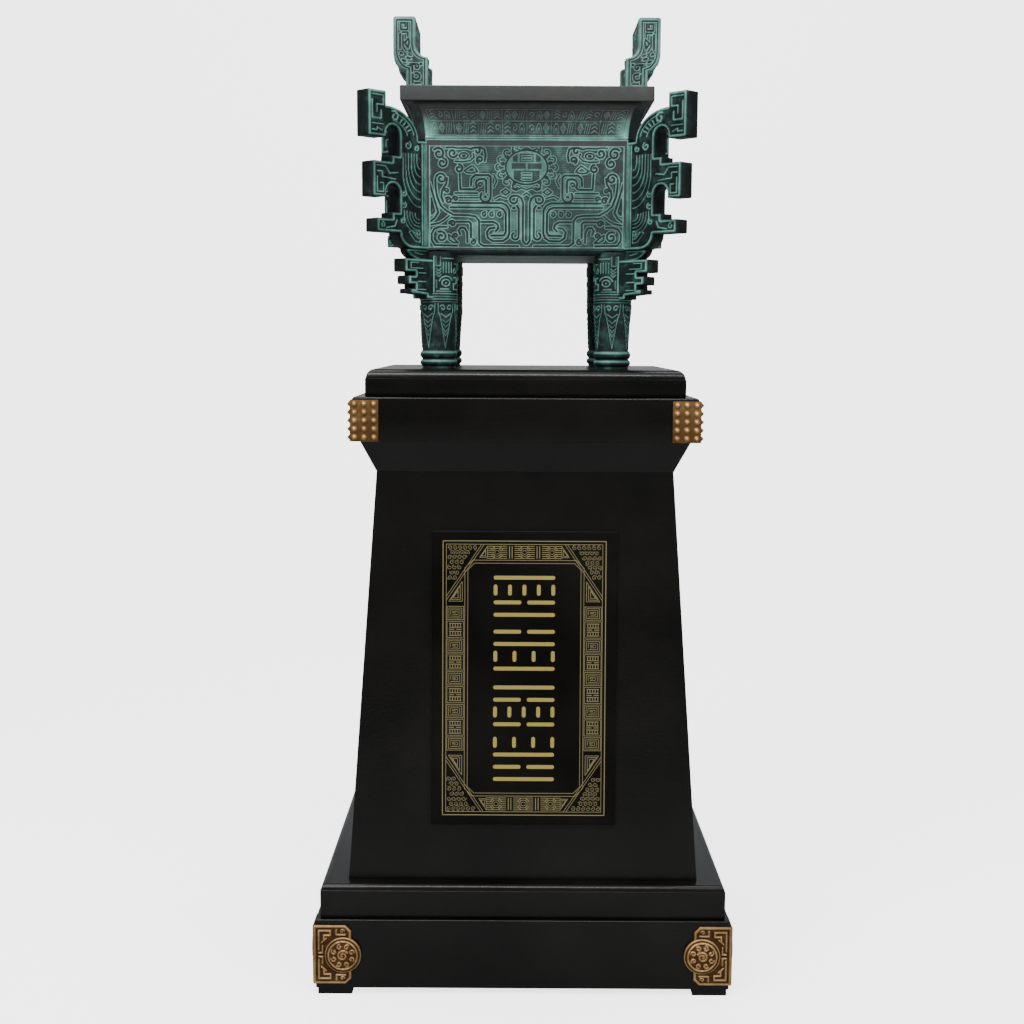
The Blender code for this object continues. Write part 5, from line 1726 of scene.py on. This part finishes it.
KEY_FORMS = {
    "key": [(oblong(12.6, 10.2), FINE), (oblong(9.8, 7.6), FINE),
            ([(-7.0, -4.9), (7.0, -4.9), (7.0, 4.9), (-7.0, 4.9), (-7.0, -2.2)], FINE),
            ([(-4.0, -2.2), (4.0, -2.2), (4.0, 2.2), (-4.0, 2.2), (-4.0, 0.2), (0.6, 0.2)], FINE)],
    "block": [(oblong(12.6, 12.4), FINE)]
             + [([(-9.0, level), (9.0, level)], 1.2) for level in (-9.2, -3.2, 3.2, 9.2)]
             + [([(u, level - 1.2), (u, level + 1.2)], 1.2) for level in (-6.2, 6.2) for u in (-8, -4, 0, 4, 8)]
             + [([(side * 2.0, 0.0), (side * 9.0, 0.0)], 1.2) for side in (-1, 1)],
}
KEY_PITCH = 50.4
for form, lines in KEY_FORMS.items():
    source = bpy.data.objects.new(form + "_form", flat_bars(lines))
    bpy.context.scene.collection.objects.link(source)
    count = 5 if form == "key" else 4
    for side in (-1, 1):
        mesh = run_tree(f"{form}s_{'left' if side < 0 else 'right'}", KEYS,
                        {"Count": count, "Pitch": KEY_PITCH * MM, "Key": source, "Finish": OLD_GOLD})
        low = -KEY_PITCH * (count - 1) / 2
        mesh.transform(BOARD @ Matrix.Translation((side * 105.5 * MM, low * MM, BOARD_THICK * MM)))
        settle(bpy.data.objects.new(mesh.name, mesh), OLD_GOLD, sharp=30.0)
    bpy.data.objects.remove(source)
print("key rows: 4, pitch", KEY_PITCH, "mm")

# %% [markdown]
# The bands above and below hold three blocks of fine bars, and the corner triangles are filled with
# small curls. Both are drawn by loops.

# %% Blocks and corner curls
def end_band_lines():
    lines = []
    middle = (INNER_HALF[1] + 4.6 + FRAME_HALF[1] - 5) / 2
    for sy in (-1, 1):
        for u in (-42.0, 0.0, 42.0):
            for i in range(7):
                level = sy * middle + (i - 3) * 3.1
                lines.append(([(u - 15, level), (u - 4, level)], 0.9))
                lines.append(([(u + 4, level), (u + 15, level)], 0.9))
            for i in range(3):
                lines.append((arc(u, sy * middle, 3.0 + 3.2 * i, 20, 160, 5), 0.9))
                lines.append((arc(u, sy * middle, 3.0 + 3.2 * i, 200, 340, 5), 0.9))
        for u in (-21.0, 21.0):
            lines.append(([(u - 2, sy * middle - 9), (u - 2, sy * middle + 9)], 1.2))
            lines.append(([(u + 2, sy * middle - 9), (u + 2, sy * middle + 9)], 1.2))
    return lines


def corner_lines():
    lines = []
    for sx in (-1, 1):
        for sy in (-1, 1):
            x, y = FRAME_HALF[0] - 5, FRAME_HALF[1] - 5
            for i in range(9):
                for j in range(7):
                    u, v = 5.0 + 7.6 * j + 3.8 * (i % 2), 5.0 + 7.6 * i
                    if u / 50.0 + v / 75.0 < 0.93:
                        curl = scroll(sx * (x - u), sy * (y - v), 3.7, 90 * sx + 50 * i, sy * 400)
                        lines.append((curl, 1.0))
    return lines


inlay("gold_bands", end_band_lines())
inlay("gold_corners", corner_lines())
print("corner curls:", len(corner_lines()))

# %% [markdown]
# Four groups of rounded strokes stand where such boards carry large writing. They are plain bars
# in rows and mean nothing.

# %% Stroke groups
STROKE, SIGN_HALF_WIDTH, SIGN_ROW = 5.8, 47.0, 19.0
SIGN_LEVELS = (127.0, 44.0, -42.0, -127.0)


def rounded_bar(u, v, length, upright=False):
    radius, run = STROKE / 2, length / 2 - STROKE / 2
    outline = arc(run, 0.0, radius, -90, 90, 8) + arc(-run, 0.0, radius, 90, 270, 8)
    if upright:
        outline = [(-y, x) for x, y in outline]
    return [(u + x, v + y) for x, y in outline]


def stroke_row(kind, v):
    """One row: a long bar, two half bars, or short uprights side by side."""
    if kind == "long":
        return [rounded_bar(0.0, v, 2 * SIGN_HALF_WIDTH)]
    if kind == "halves":
        half = SIGN_HALF_WIDTH - 4.5
        return [rounded_bar(side * (SIGN_HALF_WIDTH - half / 2), v, half) for side in (-1, 1)]
    count = 5 if kind == "five" else 4
    step = (2 * SIGN_HALF_WIDTH - STROKE) / (count - 1)
    return [rounded_bar(-SIGN_HALF_WIDTH + STROKE / 2 + i * step, v, SIGN_ROW - 2.2, True) for i in range(count)]


STROKE_ROWS = (("long", "five", "halves", "long"), ("halves", "long", "four", "long"),
               ("long", "halves", "five", "halves"), ("four", "long", "halves", "long"))


def stroke_group(kind, v):
    bars = []
    for i, row in enumerate(STROKE_ROWS[kind]):
        bars += stroke_row(row, v + SIGN_ROW * (1.5 - i))
    return bars


def stroke_groups():
    points, faces = [], []
    for kind, level in enumerate(SIGN_LEVELS):
        for outline in stroke_group(kind, level):
            first, count = len(points), len(outline)
            for out in (BOARD_THICK - 0.3, BOARD_THICK + 0.6):
                points += [BOARD @ Vector((u * MM, v * MM, out * MM)) for u, v in outline]
            faces.append(list(range(first + count - 1, first - 1, -1)))
            faces.append(list(range(first + count, first + 2 * count)))
            for i in range(count):
                j = (i + 1) % count
                faces.append((first + i, first + j, first + count + j, first + count + i))
    return make_piece("gold_strokes", points, faces, GOLD_LEAF, sharp=40.0)


stroke_groups()
print("stroke groups:", len(SIGN_LEVELS))

# %% [markdown]
# ## Stage, light and camera
# A pale floor that curves up behind, two large soft lights in front and one above. The camera
# stands where the photograph was taken from: about a metre high, looking slightly down.

# %% Stage
def backdrop():
    """A pale floor that curves up into a wall behind the object."""
    mesh = bpy.data.meshes.new("backdrop")
    profile = [(-9.0, 0.0), (2.6, 0.0)]
    profile += [(2.6 + 1.4 * math.sin(a), 1.4 - 1.4 * math.cos(a)) for a in np.radians(np.linspace(6, 90, 14))]
    profile.append((4.0, 7.0))
    points = [(x, y, z) for y, z in profile for x in (-9.0, 9.0)]
    faces = [(2 * i, 2 * i + 1, 2 * i + 3, 2 * i + 2) for i in range(len(profile) - 1)]
    mesh.from_pydata(points, [], faces)
    mesh.shade_smooth()
    pale = bpy.data.materials.new("pale_paper")
    pale.use_nodes = True
    pale.node_tree.nodes["Principled BSDF"].inputs["Roughness"].default_value = 0.9
    seen = pale.node_tree.nodes.new("ShaderNodeLightPath")
    glow = arithmetic(pale.node_tree, "MULTIPLY", seen.outputs["Is Camera Ray"], 2.6)
    # Seen in glossy reflections the backdrop turns a darker grey: a painted reflection of a dark room for the lacquer
    # to mirror. Seen by the camera it glows evenly white.
    room = blend_colour(pale.node_tree, seen.outputs["Is Glossy Ray"], (0.86, 0.86, 0.85, 1.0), (0.30, 0.31, 0.32, 1.0))
    pale.node_tree.links.new(room, pale.node_tree.nodes["Principled BSDF"].inputs["Base Color"])
    pale.node_tree.nodes["Principled BSDF"].inputs["Emission Color"].default_value = (1.0, 1.0, 1.0, 1.0)
    pale.node_tree.links.new(glow, pale.node_tree.nodes["Principled BSDF"].inputs["Emission Strength"])
    mesh.materials.append(pale)
    made = bpy.data.objects.new("backdrop", mesh)
    bpy.context.scene.collection.objects.link(made)


def soft_light(name, place, aim, size, power):
    data = bpy.data.lights.new(name, "AREA")
    data.shape = "RECTANGLE"
    data.size, data.size_y = size
    data.energy = power
    lamp = bpy.data.objects.new(name, data)
    lamp.location = place
    lamp.rotation_euler = (Vector(aim) - Vector(place)).to_track_quat("-Z", "Y").to_euler()
    bpy.context.scene.collection.objects.link(lamp)


backdrop()
soft_light("key_light", (-2.3, -3.0, 3.4), (0.0, 0.0, 1.0), (1.8, 1.8), 115.0)
soft_light("fill_light", (2.6, -2.6, 2.6), (0.0, 0.0, 1.0), (2.0, 2.0), 70.0)
soft_light("top_light", (0.0, -0.4, 4.0), (0.0, -0.3, 1.0), (3.0, 3.0), 50.0)
soft_light("wall_light", (0.0, 0.8, 4.6), (0.0, 4.0, 1.5), (5.0, 1.0), 125.0)
soft_light("edge_light", (-0.4, -1.7, 3.2), (0.0, -0.3, 0.2), (2.8, 0.5), 80.0)
world = bpy.data.worlds.new("soft_room")
world.use_nodes = True
world.node_tree.nodes["Background"].inputs["Color"].default_value = (0.9, 0.93, 1.0, 1.0)
world.node_tree.nodes["Background"].inputs["Strength"].default_value = 0.35
bpy.context.scene.world = world
print("lights:", len(bpy.data.lights))

# %% [markdown]
# The lens and the tilt were worked out from the photograph: straight edges of the slab, the step
# and the base give the height of the eye and the distance.

# %% Camera
EYE = Vector((-0.0196, -2.434, 1.004))
PITCH, ROLL, LENS = -6.7, 0.3, 51.86

camera_data = bpy.data.cameras.new("camera")
camera_data.lens = LENS
camera_data.sensor_width = 36.0
camera = bpy.data.objects.new("camera", camera_data)
turn = Matrix.Rotation(math.radians(90.0 + PITCH), 4, "X") @ Matrix.Rotation(math.radians(ROLL), 4, "Z")
camera.matrix_world = Matrix.Translation(EYE) @ turn
bpy.context.scene.collection.objects.link(camera)
bpy.context.scene.camera = camera
print("camera at", tuple(round(c, 3) for c in EYE))
